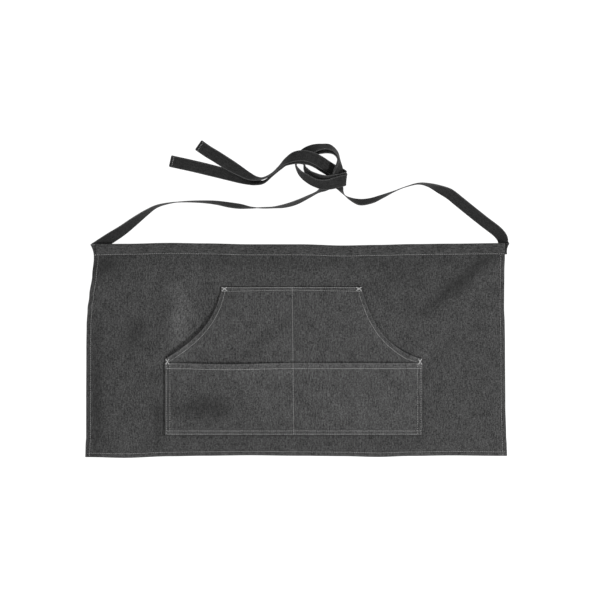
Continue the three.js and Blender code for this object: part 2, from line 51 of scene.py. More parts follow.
# Panel, as in the part
HEM_WIDTH = 716
PANEL_HEIGHT = 359
LEFT_TAPER = 14.8
RIGHT_TAPER = 5.8
SIDE_HEM = 7.4
BOTTOM_HEM = 6.4
HEM_WAVE = 2.2
WAIST_WAVE = 2.4
FOLD_HEIGHT = 4.5
FOLD_CLEAR_OF_POCKETS = 30

# Waistband, as in the part
BAND_HEIGHT = 19.2
BAND_LIFT_LEFT = 3.6
BAND_LIFT_RIGHT = 8
BAND_LIFT_FLAT = 30
BAND_LIFT_RUN = 45
BAND_BLEND = 26
CORNER_TUCK = 6

# Pockets, as in the part, but for the front one, whose mouth lies 2 mm lower there
POCKET_WIDTH = 438
POCKET_OFF_CENTRE = -4.5
POCKET_ABOVE_HEM = 35.7
FRONT_POCKET_HEIGHT = 124
KANGAROO_HEIGHT = 252.5
STRAIGHT_SIDE_HEIGHT = 129.7
KANGAROO_TOP_WIDTH = 238.5
KANGAROO_TOP_OFF_CENTRE = -8.2
CENTRE_SEAM_LEAN = 2.6
SEAM_WIDTH = 5
LEFT_BOW = 18.8
LEFT_BOW_SKEW = 0.22
RIGHT_BOW = 23.8
RIGHT_BOW_SKEW = -0.16
KANGAROO_PUFF = 6
FRONT_PUFF = 5.8
FRONT_PUFF_CURVE = 0.4

# Ties, as in the part
TIE_WIDTH = 19.2
ROUTE_GRID_WIDTH = 1.7
ROUTE_GRID_HEIGHT = 1
WAIST_ABOVE_ROUTES = 179.1
ROOT_GAP = 0.4
ROOT_RUN = 0.8
LEFT_ROOT_HEADING_IN = 180
LEFT_ROOT_HEADING_OUT = 35
KNOT_FOLD_IN = 13
KNOT_FOLD_OUT = 152
FOLD_ROWS = 8

# Cloth details; shades are shares of the cloth's brightness
GAPE_LEFT = 0.65
GAPE_RIGHT = 0.3
EDGE_ROUND = 0.9
EDGE_WEAR = 0.8
WEAR_INSIDE = 1.6
WEAR_WIDTH = 0.9
# Painted shade along the pockets' rolled edges: how dark and how wide
EDGE_SHADE = -0.8
SHADE_WIDTH = 0.75
SIDE_HEM_SHADE = -0.12
FRONT_HEM_SHADE = 0.2
PANEL_UNDER_ROUND = 0.6
PANEL_THINNEST = 0.2
POCKET_UNDER_ROUND = 0.3
POCKET_THINNEST = 0.25
KANGAROO_UNDER_RELIEF = 0.7
FRONT_UNDER_RELIEF = 0.5
HEM_SOFT_RUN = 1.6
HEM_EXTRA = 0.45
GROOVE_DEPTH = 0.4
GROOVE_WIDTH = 1.1
PUCKER_HEIGHT = 0.35
PUCKER_REACH = 5
PUCKER_LENGTH = 9
MOUTH_SAG = 2.6
WRINKLE_HEIGHT = 0.7
WRINKLE_SIZE = 34
CREASE_HEIGHT = 0.25
CREASE_SIZE = 11
CREASE_SHEAR = 0.6
CREASE_LEAN = 0.3
BAND_FINE_HEIGHT = 0.22
BAND_FINE_SIZE = 8
BAND_BROAD_HEIGHT = 0.25
BAND_BROAD_SIZE = 33
PANEL_LINE_SPACING = 2.9
POCKET_LINE_SPACING = 2.6
BAND_SECTION_SPACING = 2.2
TIE_SECTION_SPACING = 1.6
TIE_ROOT_RUN = 12
LEFT_ROOT_TONE = 1.9
RIGHT_ROOT_TONE = 0
TIE_END_FLARE = 0.05
TIE_FLARE_RUN = 60
TIE_CORNER = 1.8
TIE_WAVE = 0.25
TIE_WAVE_LENGTH = 14
# The ties' lighter edges: partly wear, partly a painted highlight for the light that their edges catch
TIE_WEAR_AND_HIGHLIGHT_FROM = 0.84
TIE_WEAR_AND_HIGHLIGHT_SHARE = 0.1

# Where grid lines crowd: inside an edge and about a row of stitches, and the least way between two
EDGE_LINES = (0.12, 0.35, 0.7, 1.2, 2.0)
ROW_LINES = (-2.0, -1.3, -0.8, -0.4, 0, 0.4, 0.8, 1.3, 2.0)
LINES_APART = 0.1
TIE_END_LINES = (1.2, 0.8, 0.5, 0.25, 0.1)

# Stitching
STITCH_PITCH = 3.1
STITCH_LENGTH = 2.3
SIDE_PITCH = 3.8
SIDE_LENGTH = 1.8
SIDE_THICK = 1.15
BOTTOM_THICK = 1.25
TIE_THICK = 0.7
THREAD_HALF_WIDTH = 0.27
THREAD_HALF_HEIGHT = 0.2
THREAD_CORNERS = 6
STITCH_PROUD = 0.3
STITCH_SWING = 0.05
STITCH_LONGEST = 1.08
STITCH_SHORTEST = 0.9
ROW_WAY_REACH = 0.8
ROW_END_SHARE = 0.985
SIDE_STITCH_LEFT = 7.4
SIDE_STITCH_RIGHT = 7.2
BOTTOM_STITCH = 7.0
HEM_ROW_START = 0.004
BAND_STITCH = 1.3
BAND_STITCH_SUNK = 0.45
MOUTH_ROW = 7.4
MOUTH_ROW_PAST_FOOT = 4.5
LEAN_STEP = 0.01
HEAD_EDGE_ROW = 1.3
HEAD_INNER_ROW = 5.8
SIDE_EDGE_ROW = 3.4
SIDE_INNER_ROW = 9.2
FOOT_EDGE_ROW = 2.6
FOOT_INNER_ROW = 8.0
FRONT_TOP_ROW = 10.3
TIE_END_ROW = 5.2
TIE_END_ROW_SHARE = 0.94
TIE_END_ROW_DEPTH = 0.43
TIE_END_PITCH = 2.635
TIE_EDGE_ROW = 1.5
TIE_ROW_DEPTH = 0.42
TACK_LENGTH = 10
TACK_WIDTH = 1.6
TACK_THREADS = 14
TACK_CROSSING = 32
TACK_HEAD_SHARE = 0.95
TACK_HEAD_DROP = 2.8
TACK_FOOT_SHARE = 0.978
TACK_FOOT_DROP = 4.2
TACK_SLANT = 0.45
TACK_SCATTER = 0.12
TACK_THICK = 1.2
TACK_RAISED = 0.25

# Camera, floor and light; the lights' places and sizes are in metres
VIEW_WIDTH = 1017.5
VIEW_CENTRE_X = 6.1
VIEW_CENTRE_Y = 86.0
CAMERA_HEIGHT = 5000
SENSOR_WIDTH = 36
FLOOR_SIZE = 12000
FLOOR_BELOW = 0.3
FLOOR_GLOW = 1.0
FLOOR_BRIGHTNESS = 0.1
WORLD_STRENGTH = 0.75
KEY_PLACE = (1.7, -1.5, 2.3)
KEY_TARGET = (0, 0, 0)
KEY_SIZE = 0.6
KEY_POWER = 98
FILL_PLACE = (-1.6, 1.4, 2.6)
FILL_TARGET = (0, 0.1, 0)
FILL_SIZE = 1.6
FILL_POWER = 20


def table(names, rows):
    return [dict(zip(names, row)) for row in rows]


def smooth(value):
    share = np.clip(value, 0, 1)
    return share * share * (3 - 2 * share)


def lerp(a, b, share):
    return a + (b - a) * share


def read(rows, key, column, at):
    """A value read from a table: smooth between the rows, by the column named key."""
    keys = np.array([row[key] for row in rows], float)
    values = np.array([row[column] for row in rows], float)
    at = np.clip(at, keys[0], keys[-1])
    i = np.clip(np.searchsorted(keys, at, side="right"), 1, len(keys) - 1)
    share = smooth((at - keys[i - 1]) / (keys[i] - keys[i - 1]))
    return lerp(values[i - 1], values[i], share)


# How far each side edge lies inside the hem's width, as a share of its taper; up is a share of the height.
SIDE_INSET = table(["up", "left", "right"], [
    [0.0, 0.0, 0.15],
    [0.05, 0.03, 0.24],
    [0.1, 0.1, 0.42],
    [0.24, 0.1, 0.64],
    [0.52, 0.12, 0.74],
    [0.62, 0.15, 0.82],
    [0.7, 0.26, 1.0],
    [0.76, 0.46, 0.97],
    [0.86, 0.8, 0.92],
    [0.94, 1.0, 0.88],
])

# The wave of the hem and of the waist: across is a share of the half width, and the waves are shares
# of HEM_WAVE and WAIST_WAVE.
EDGE_WAVE = table(["across", "hem", "waist"], [
    [-0.98, -0.46, -0.2],
    [-0.81, -1.0, 0.2],
    [-0.6, 0.2, 0.86],
    [-0.43, 0.6, 0.5],
    [-0.22, 0.96, -0.14],
    [0.02, 0.58, -0.14],
    [0.22, 0.3, -1.0],
    [0.38, -0.3, -0.6],
    [0.55, 0.46, 0.0],
    [0.73, 0.84, 0.3],
    [0.95, 0.54, 0.6],
])

# Soft ridges of the panel: place as shares of the half width and the height, heading in degrees,
# reach along and across the ridge as shares of the height, rise as a share of FOLD_HEIGHT.
PANEL_FOLDS = table(["across", "up", "heading", "along", "wide", "rise"], [
    [-0.57, 0.65, 88, 0.2, 0.042, 1.0],
    [-0.84, 0.1, 82, 0.13, 0.06, 0.75],
    [-0.88, 0.55, 95, 0.26, 0.05, 0.6],
    [-0.71, 0.26, 100, 0.16, 0.045, 0.7],
    [-0.9, 0.86, 60, 0.1, 0.05, 0.7],
    [0.75, 0.9, 140, 0.15, 0.045, 0.75],
    [0.86, 0.72, 125, 0.16, 0.055, 0.8],
    [0.7, 0.3, 75, 0.2, 0.05, 0.6],
    [0.93, 0.3, 95, 0.22, 0.04, 0.5],
    [0.42, 0.04, 90, 0.06, 0.06, 0.5],
    [-0.1, 0.04, 90, 0.05, 0.09, 0.3],
    [0.02, 0.87, 2, 0.6, 0.03, 0.4],
])

# Broad light and dark places of the denim, in the same columns as the ridges: partly painted shade and
# painted highlight where the folds turn from or towards the light, partly the dye's uneven fading; tone is
# a share of its brightness.
PAINTED_FOLD_SHADE_AND_FADING = table(["across", "up", "heading", "along", "wide", "tone"], [
    [-0.91, 0.9, 0, 0.09, 0.06, -0.46],
    [0.0, 0.92, 0, 0.9, 0.025, -0.2],
    [-0.95, 0.26, 90, 0.34, 0.034, -0.4],
    [-0.77, 0.57, 60, 0.09, 0.055, -0.28],
    [0.79, 0.84, 40, 0.22, 0.035, -0.5],
    [0.5, 0.86, 0, 0.16, 0.08, -0.16],
    [-0.66, 0.17, 90, 0.13, 0.02, -0.32],
    [-0.43, 0.23, 0, 0.14, 0.06, -0.5],
    [-0.2, 0.14, 0, 0.2, 0.03, -0.12],
    [-0.17, 0.55, 39, 0.15, 0.035, -0.18],
    [-0.55, 0.65, 88, 0.17, 0.055, 0.6],
    [-0.02, 0.4, 0, 0.35, 0.035, 0.2],
    [0.42, 0.6, 135, 0.08, 0.05, 0.2],
    [0.58, 0.48, 60, 0.08, 0.03, 0.26],
    [0.25, 0.25, 0, 0.2, 0.09, 0.1],
])

TIE_COLUMNS = ["x", "y", "level", "side", "lean", "spread", "slide"]

# The ties' routes. x and y count ROUTE_GRID_WIDTH, y from a line WAIST_ABOVE_ROUTES below the waist;
# level, the height of the strip's lowest edge, and spread and slide count ROUTE_GRID_HEIGHT;
# side is the plan heading of the strip's width and lean how far that width is tipped up.
LEFT_WAY_IN = table(TIE_COLUMNS, [
    [-187.2, 111.0, 0.1, 125, 6],
    [-173.6, 119.6, 0.1, 124, 27],
    [-159.5, 130.1, 0.1, 125, 48],
    [-148.4, 138.1, 0.1, 126, 66],
    [-139.0, 143.6, 0.1, 118, 80],
    [-124.0, 147.2, 0.1, 100, 90],
    [-111.0, 148.2, 0.1, 272, 85],
    [-94.0, 148.2, 0.1, 268, 78],
    [-80.0, 147.2, 0.1, 263, 70],
    [-66.0, 144.9, 0.1, 261, 62],
    [-55.3, 143.5, 0.1, 263, 65],
    [-46.3, 142.4, 0.1, 266, 80],
    [-35.0, 142.1, 0.1, 88, 89],
    [-23.0, 142.5, 0.1, 94, 86],
    [-11.4, 144.1, 0.1, 100, 75],
    [-0.5, 147.3, 0.1, 110, 71],
    [11.0, 152.6, 0.1, 118, 77],
    [20.5, 157.5, 0.1, 121, 82],
    [25.2, 160.6, 0.1, 125, 66],
    [30.6, 164.4, 0.3, 130, 40],
    [36.0, 168.8, 2.4, 148, 20],
])

RIGHT_WAY_IN = table(TIE_COLUMNS, [
    [209.2, 101.3, 8.6, 84, 6],
    [209.5, 102.1, 4.4, 72, 12],
    [208.2, 103.6, 0.8, 52, 20],
    [206.4, 106.2, 0.1, 36, 26],
    [205.4, 111.6, 0.1, 34, 17],
    [201.5, 117.2, 0.1, 46, 6],
    [187.1, 128.6, 0.1, 51, 4],
    [174.0, 139.0, 0.1, 52, 5],
    [161.6, 149.0, 0.1, 51, 10],
    [152.6, 156.0, 0.1, 56, 20],
    [142.4, 160.8, 0.1, 64, 48],
    [132.2, 164.7, 0.1, 74, 73],
    [122.0, 166.2, 0.1, 90, 86],
    [108.5, 162.9, 0.1, 292, 89],
    [97.5, 158.6, 0.1, 293, 86],
    [84.0, 152.8, 0.1, 293, 70],
    [74.5, 149.2, 0.1, 285, 60],
    [63.0, 147.8, 0.1, 262, 56],
    [54.3, 150.7, 0.1, 235, 74],
    [48.2, 154.6, 0.1, 217, 88],
    [44.6, 159.4, 0.1, 208, 70],
    [42.4, 163.4, 0.6, 195, 44],
    [41.2, 167.8, 5.8, 184, 26],
])

# Both ties together, round the knot as far as the fold at its right side. Where the pair stands on edge,
# here and in the tail, its spread is drawn up to 2.6 mm smaller than in the part.
KNOT_LOOP = table(TIE_COLUMNS, [
    [40.5, 173.0, 5.6, 176, 24, 2.4, 0],
    [41.5, 178.5, 5.2, 178, 40, 2.6, 0],
    [42.5, 183.5, 3.9, 180, 60, 2.6, 0],
    [42.2, 190.0, 1.5, 188, 84, 2.4, 0],
    [39.0, 196.7, 0.3, 215, 74, 4.0, 0],
    [32.7, 200.7, 0.1, 245, 62, 7.5, 0],
    [25.0, 200.9, 0.1, 272, 57, 8.0, 0],
    [15.5, 199.5, 0.1, 290, 35, 5.0, 0],
    [8.5, 195.7, 0.1, 312, 20, 4.6, 0],
    [4.3, 190.7, 0.1, 338, 50, 8.0, 0],
    [3.5, 185.5, 0.1, 362, 85, 14.0, 0],
    [6.3, 178.7, 0.1, 390, 70, 12.0, 0],
    [12.5, 172.8, 4.0, 412, 54, 9.5, 1.0],
    [21.5, 168.5, 13.5, 434, 45, 8.0, 5.0],
    [30.0, 167.0, 14.5, 455, 28, 4.8, 5.5],
    [38.0, 168.1, 15.0, 463, 8, 3.2, 4.6],
])

# Both ties' fold: its place, the heights of its two layers, and spread and slide as above.
KNOT_FOLD = {"x": 44.3, "y": 169.5, "upper": 15.0, "lower": 0.1, "spread": 2.6, "slide": 3.6}

# Both ties together, from the fold over the loop to where they part.
KNOT_TAIL = table(TIE_COLUMNS, [
    [35.5, 179.4, 0.5, 60, 0, 2.2, 3.8],
    [28.8, 183.2, 7.0, 57, 0, 2.2, 4.2],
    [22.2, 187.3, 15.0, 56, 0, 2.2, 4.4],
    [14.8, 190.7, 19.0, 70, -4, 2.2, 4.6],
    [7.0, 192.1, 20.5, 88, -10, 2.4, 5.0],
    [-1.8, 191.6, 14.5, 107, -30, 2.8, 3.0],
    [-10.0, 188.1, 3.5, 121, -60, 2.4, 1.0],
    [-16.5, 182.0, 0.3, 132, -76, 2.4, 0],
    [-24.5, 175.0, 0.1, 130, -81, 2.6, 0],
])

LEFT_WAY_OUT = table(TIE_COLUMNS, [
    [-34.0, 171.3, 0.3, 110, -78],
    [-41.0, 171.5, 0.4, 85, -65],
    [-47.5, 173.7, 0.8, 65, -48],
    [-56.0, 178.5, 1.2, 59, -33],
    [-70.0, 187.0, 2.2, 57, -5],
    [-80.0, 193.4, 1.9, 56, 0],
    [-88.4, 198.5, 0.3, 56, 0],
    [-97.9, 205.1, 0.1, 56, 0],
])

RIGHT_WAY_OUT = table(TIE_COLUMNS, [
    [-33.5, 167.5, 0.1, 108, -72],
    [-41.0, 168.0, 0.1, 86, -50],
    [-47.0, 169.8, 0.1, 78, -30],
    [-56.0, 172.1, 0.1, 76, -12],
    [-70.9, 176.0, 0.1, 76, 0],
    [-97.7, 182.7, 0.1, 77, 0],
    [-126.0, 189.0, 0.1, 77, 0],
])

# A stitch from end to end: along is a share of its half length, size one of its thickness
STITCH_RINGS = table(["along", "size", "lift"], [
    [-1, 0.3, -0.3],
    [-0.72, 0.85, 0],
    [0, 1, 0.08],
    [0.72, 0.85, 0],
    [1, 0.3, -0.3],
])

# The denim's noises: scale across, along and through the warp, and how strongly each shows
DENIM_NOISES = table(["name", "scale", "detail", "roughness", "weight"], [
    ["long_streaks", (0.4, 0.06, 1), 2, 0.6, 1.4],
    ["short_streaks", (0.42, 0.18, 1), 2, 0.7, 2.5],
    ["flecks", (0.6, 0.42, 1), 2, 0.75, 3.8],
    ["patches", (0.05, 0.035, 1), 3, 0.6, 0.9],
])
TWILL_SCALE = (1.1, 0.8, 1)
TWILL_WEIGHT = 0.16
THREAD_TINT = (1.0, 1.0, 0.99)

# Panel outline
hem_half = HEM_WIDTH / 2
panel_top = PANEL_HEIGHT / 2
panel_bottom = -PANEL_HEIGHT / 2
band_low = panel_top + CLOTH + GAP - BAND_HEIGHT
band_thickness = 4 * CLOTH + 2 * GAP

# Pocket outline
pocket_left = POCKET_OFF_CENTRE - POCKET_WIDTH / 2
pocket_right = POCKET_OFF_CENTRE + POCKET_WIDTH / 2
pocket_bottom = panel_bottom + POCKET_ABOVE_HEM
front_top = pocket_bottom + FRONT_POCKET_HEIGHT
mouth_foot = pocket_bottom + STRAIGHT_SIDE_HEIGHT
kangaroo_top = pocket_bottom + KANGAROO_HEIGHT
kangaroo_top_left = KANGAROO_TOP_OFF_CENTRE - KANGAROO_TOP_WIDTH / 2
kangaroo_top_right = KANGAROO_TOP_OFF_CENTRE + KANGAROO_TOP_WIDTH / 2
seam_share = SEAM_WIDTH / (POCKET_WIDTH / 2)


def soft_noise(x, y, size, seed):
    """Smooth noise from -1 to 1, whose bumps are about size wide."""
    cells = 64
    heights = np.random.default_rng(SEED + seed).uniform(-1, 1, (cells, cells))
    u = np.asarray(x, float) / size + cells / 2
    v = np.asarray(y, float) / size + cells / 2
    i = np.floor(u).astype(int)
    j = np.floor(v).astype(int)
    su = smooth(u - i)
    sv = smooth(v - j)
    low = lerp(heights[i % cells, j % cells], heights[(i + 1) % cells, j % cells], su)
    high = lerp(heights[i % cells, (j + 1) % cells], heights[(i + 1) % cells, (j + 1) % cells], su)
    return lerp(low, high, sv)


def side_edge(side, up):
    taper = LEFT_TAPER if side == "left" else RIGHT_TAPER
    inset = read(SIDE_INSET, "up", side, up) * taper
    return inset - hem_half if side == "left" else hem_half - inset


def edge_wave(column, x):
    wave = HEM_WAVE if column == "hem" else WAIST_WAVE
    return read(EDGE_WAVE, "across", column, x / hem_half) * wave


def band_end(side):
    edge = side_edge(side, 1)
    return edge + CORNER_TUCK / 2 if side == "left" else edge + GAP


def band_floor(x):
    """Height of the waistband's underside: its ends are lifted by the ties folded under them."""
    to_left = (x - band_end("left") - BAND_LIFT_FLAT) / BAND_LIFT_RUN
    to_right = (band_end("right") - x) / (BAND_LIFT_FLAT + BAND_LIFT_RUN)
    return BAND_LIFT_LEFT * (1 - smooth(to_left)) + BAND_LIFT_RIGHT * (1 - smooth(to_right))


def mouth_share(y):
    """How far up a curved mouth a height lies, from 0 at its foot to 1 at its head."""
    return np.clip((y - mouth_foot) / (kangaroo_top - mouth_foot), 0, 1)


def mouth_point(side, share):
    """A point of the kangaroo pocket's curved mouth, as x and y."""
    left = side == "left"
    foot = (pocket_left if left else pocket_right, mouth_foot)
    head = (kangaroo_top_left if left else kangaroo_top_right, kangaroo_top)
    bow = LEFT_BOW if left else RIGHT_BOW
    skew = LEFT_BOW_SKEW if left else RIGHT_BOW_SKEW
    chord = (head[0] - foot[0], head[1] - foot[1])
    length = math.hypot(*chord)
    turn = 1 if left else -1
    inward = (turn * chord[1] / length, -turn * chord[0] / length)
    offset = bow * 4 * share * (1 - share) * (1 + skew * (2 * share - 1))
    return foot[0] + chord[0] * share + inward[0] * offset, foot[1] + chord[1] * share + inward[1] * offset


def free_cloth(x, y):
    """0 on the pockets, where the cloth lies flat, rising to 1 away from them."""
    share = mouth_share(y)
    beyond_left = mouth_point("left", share)[0] - x
    beyond_right = x - mouth_point("right", share)[0]
    aside = np.maximum(np.maximum(beyond_left, beyond_right), 0)
    above = np.maximum(np.maximum(pocket_bottom - y, y - kangaroo_top), 0)
    return smooth(np.hypot(aside, above) / FOLD_CLEAR_OF_POCKETS)


def soft_patches(rows, column, x, y):
    """The sum of soft long patches, each row's own peak being the value in its column."""
    total = 0
    for row in rows:
        dx = x - row["across"] * hem_half
        dy = y - (panel_bottom + row["up"] * PANEL_HEIGHT)
        cos = math.cos(math.radians(row["heading"]))
        sin = math.sin(math.radians(row["heading"]))
        along = (dx * cos + dy * sin) / (row["along"] * PANEL_HEIGHT)
        wide = (dy * cos - dx * sin) / (row["wide"] * PANEL_HEIGHT)
        total = total + row[column] * np.exp(-along * along - wide * wide)
    return total


def panel_floor(x, y):
    rise = FOLD_HEIGHT * soft_patches(PANEL_FOLDS, "rise", x, y)
    in_band = smooth((y - band_low + BAND_BLEND) / BAND_BLEND)
    return lerp(rise * free_cloth(x, y), band_floor(x) + CLOTH + GAP, in_band)


def panel_point(across, up):
    tuck = CORNER_TUCK * smooth((up * PANEL_HEIGHT - (band_low - panel_bottom)) / GAP)
    left = side_edge("left", up) + tuck
    right = side_edge("right", up) - tuck
    x = lerp(left, right, across)
    y = lerp(panel_bottom + edge_wave("hem", x), panel_top + edge_wave("waist", x), up)
    return x, y


def groove(distance):
    """The dip that a row of stitches pulls into the cloth."""
    return -GROOVE_DEPTH * np.exp(-((distance / GROOVE_WIDTH) ** 2))


def sewn(distance, along, seed):
    """The dip that a row of stitches pulls into the cloth, with small ripples along it that fade away."""
    strength = np.exp(-((distance / PUCKER_REACH) ** 2))
    return groove(distance) + PUCKER_HEIGHT * strength * soft_noise(along, distance, PUCKER_LENGTH, seed)


def rounding(distance):
    """How far a folded edge drops at a distance inside it."""
    share = np.clip(1 - distance / EDGE_ROUND, 0, 1)
    return EDGE_ROUND * (1 - np.sqrt(1 - share * share))


def edge_wear(distance):
    """The worn line just inside a rolled edge."""
    return EDGE_WEAR * np.exp(-(((distance - WEAR_INSIDE) / WEAR_WIDTH) ** 2))


def edge_shade(distance):
    """Painted shade along a rolled edge, as a share of the cloth's brightness."""
    return EDGE_SHADE * np.exp(-((distance / SHADE_WIDTH) ** 2))


def within(distance, width):
    """1 within a hem's width, falling to 0 over its soft step."""
    return 1 - smooth((distance - width) / HEM_SOFT_RUN)


def wrinkles(x, y, seed):
    broad = soft_noise(x, y, WRINKLE_SIZE, seed)
    fine = soft_noise(x + CREASE_SHEAR * y, y - CREASE_LEAN * x, CREASE_SIZE, seed + 1)
    return WRINKLE_HEIGHT * (0.5 + 0.5 * broad) + CREASE_HEIGHT * (0.5 + 0.5 * fine)


def panel_surface(across, up):
    """The panel's cloth at shares across and up: x, y, its lower and its upper height, its wear and
    how much lighter or darker it is there."""
    x, y = panel_point(across, up)
    width = side_edge("right", up) - side_edge("left", up)
    from_left = across * width
    from_right = (1 - across) * width
    from_hem = up * PANEL_HEIGHT
    side = np.minimum(from_left, from_right)
    edge = np.minimum(side, from_hem)
    in_side = within(side, SIDE_HEM)
    hem = np.maximum(in_side, within(from_hem, BOTTOM_HEM))
    below_band = 1 - smooth((y - band_low + PUCKER_REACH) / PUCKER_REACH)
    relief = wrinkles(x, y, 1) * free_cloth(x, y) * below_band
    relief = relief + sewn(from_left - SIDE_STITCH_LEFT, y, 3)
    relief = relief + sewn(from_right - SIDE_STITCH_RIGHT, y, 4)
    relief = relief + sewn(from_hem - BOTTOM_STITCH, x, 5)
    low = panel_floor(x, y)
    top = low + CLOTH * (1 + hem) + relief * below_band - rounding(edge)
    bottom = np.minimum(low + PANEL_UNDER_ROUND * rounding(edge), top - PANEL_THINNEST)
    return x, y, bottom, top, edge_wear(edge), SIDE_HEM_SHADE * in_side


def gape(half):
    """The right half of a pocket lies closer to the cloth below than the left half."""
    return np.where(half < 0, GAPE_LEFT, GAPE_RIGHT)


def pocket_puff(half, up, openness):
    away = np.clip((np.abs(half) - seam_share) / (1 - 2 * seam_share), 0, 1)
    return np.sin(np.pi * away * (1 - openness / 2)) * up


def centre_seam(y):
    return POCKET_OFF_CENTRE - CENTRE_SEAM_LEAN * (y - pocket_bottom) / KANGAROO_HEIGHT


def pocket_point(half, y):
    """A place on the pocket from its half, -1 to 1 about the centre seam, and its height there."""
    share = mouth_share(y)
    left_x, left_y = mouth_point("left", share)
    right_x, right_y = mouth_point("right", share)
    straight = y < mouth_foot
    outer_x = np.where(half < 0, left_x, right_x)
    outer_y = np.where(straight, y, np.where(half < 0, left_y, right_y))
    away = np.abs(half)
    return lerp(centre_seam(y), outer_x, away), lerp(y, outer_y, away)


def kangaroo_floor(half, y):
    share = np.clip((y - pocket_bottom - SEAM_WIDTH) / (KANGAROO_HEIGHT - 2 * SEAM_WIDTH), 0, 1)
    up = np.sqrt(np.clip(np.sin(np.pi * share), 0, 1))
    openness = np.sqrt(np.clip(np.sin(np.pi * mouth_share(y)), 0, 1))
    return CLOTH + GAP + KANGAROO_PUFF * pocket_puff(half, up, openness)


def mouth_lean(side, y):
    """How much of a way across to the centre seam lies square to the curved edge."""
    share = mouth_share(y)
    x, edge_y = mouth_point(side, share)
    next_x, next_y = mouth_point(side, share + LEAN_STEP)
    step_x = next_x - x
    step_y = next_y - edge_y
    across_x = centre_seam(y) - x
    across_y = np.maximum(y, mouth_foot) - edge_y
    square = np.abs(across_x * step_y - across_y * step_x)
    return square / (np.abs(across_x) * np.hypot(step_x, step_y))


def from_mouth(half, y):
    """Distance from the pocket's side edge: the curved mouth, and the straight side below its foot."""
    share = mouth_share(y)
    left_width = centre_seam(y) - mouth_point("left", share)[0]
    right_width = mouth_point("right", share)[0] - centre_seam(y)
    across = (1 - np.abs(half)) * np.where(half < 0, left_width, right_width)
    lean = np.where(half < 0, mouth_lean("left", y), mouth_lean("right", y))
    below = np.maximum(mouth_foot - y, 0)
    curved = across * lean + below * np.sqrt(1 - lean * lean)
    return np.where(y < mouth_foot, np.minimum(across, curved), curved)


def pocket_distances(half, y):
    """Distances from a pocket's side, from its bottom and, with a sign, from its centre seam."""
    return from_mouth(half, y), y - pocket_bottom, pocket_point(half, y)[0] - centre_seam(y)


def pocket_wrinkles(half, y, edge, seed):
    """A pocket's wrinkles, which its edges and its centre seam hold down."""
    x, place_y = pocket_point(half, y)
    seam = np.abs(x - centre_seam(y))
    return wrinkles(x, place_y, seed) * smooth(edge / (2 * MOUTH_ROW)) * smooth(seam / MOUTH_ROW)


def pocket_faces(low, relief, edge, under_relief):
    """Lower and upper height of a pocket's cloth; under_relief is how much of its relief shows below."""
    top = low + CLOTH + relief - rounding(edge)
    under = low + np.maximum(relief, 0) * under_relief + POCKET_UNDER_ROUND * rounding(edge)
    return np.minimum(under, top - POCKET_THINNEST), top


def kangaroo_surface(half, y):
    x, place_y = pocket_point(half, y)
    side, foot, seam = pocket_distances(half, y)
    head = kangaroo_top - y
    edge = np.minimum(np.minimum(side, foot), head)
    relief = pocket_wrinkles(half, y, edge, 11) + HEM_EXTRA * within(edge, MOUTH_ROW)
    relief = relief + sewn(side - MOUTH_ROW, y, 12) + sewn(foot - FOOT_INNER_ROW, x, 13)
    relief = relief + sewn(head - HEAD_INNER_ROW, x, 14) + sewn(seam, y, 15)
    bottom, top = pocket_faces(kangaroo_floor(half, y), relief, edge, KANGAROO_UNDER_RELIEF)
    return x, place_y, bottom, top, edge_wear(edge), edge_shade(edge)


def mouth_sag(half):
    """How far the front pocket's mouth hangs below a straight line, in its left half only."""
    return np.where(half < 0, MOUTH_SAG * np.sin(np.pi * np.abs(half)) ** 2, 0)


def front_surface(half, y):
    x, place_y = pocket_point(half, y)
    up = np.clip((y - pocket_bottom - SEAM_WIDTH) / FRONT_POCKET_HEIGHT, 0, 1)
    stand = FRONT_PUFF * gape(half) * pocket_puff(half, up ** FRONT_PUFF_CURVE, 0)
    low = kangaroo_floor(half, y) + CLOTH + HEM_EXTRA + GAP + stand
    side, foot, seam = pocket_distances(half, y)
    head = front_top - y
    edge = np.minimum(np.minimum(side, foot), head)
    top_hem = within(head, FRONT_TOP_ROW)
    hem = np.maximum(within(np.minimum(side, foot), SIDE_INNER_ROW), top_hem)
    relief = pocket_wrinkles(half, y, edge, 21) + HEM_EXTRA * hem
    relief = relief + sewn(side - SIDE_INNER_ROW, y, 22) + groove(side - SIDE_EDGE_ROW)
    relief = relief + sewn(foot - FOOT_INNER_ROW, x, 23) + groove(foot - FOOT_EDGE_ROW)
    relief = relief + sewn(head - FRONT_TOP_ROW, x, 24) + sewn(seam, y, 25)
    bottom, top = pocket_faces(low, relief, edge, FRONT_UNDER_RELIEF)
    place_y = place_y - mouth_sag(half) * up ** 3
    return x, place_y, bottom, top, edge_wear(edge), edge_shade(edge) + FRONT_HEM_SHADE * top_hem


def new_object(name, points, faces, uvs=None, values=None, material=None):
    """A mesh object from points in millimetres. uvs holds one pair in millimetres for each point."""
    mesh = bpy.data.meshes.new(name)
    mesh.from_pydata((np.asarray(points, float) * MM).tolist(), [], faces)
    if uvs is not None:
        loops = np.empty(len(mesh.loops), int)
        mesh.loops.foreach_get("vertex_index", loops)
        layer = mesh.uv_layers.new(name="cloth")
        layer.data.foreach_set("uv", np.asarray(uvs, float)[loops].ravel())
    for key, column in (values or {}).items():
        attribute = mesh.attributes.new(key, "FLOAT", "POINT")
        attribute.data.foreach_set("value", np.asarray(column, float))
    mesh.polygons.foreach_set("use_smooth", [True] * len(mesh.polygons))
    mesh.materials.append(material)
    mesh.validate()
    mesh.update()
    piece = bpy.data.objects.new(name, mesh)
    bpy.context.scene.collection.objects.link(piece)
    return piece


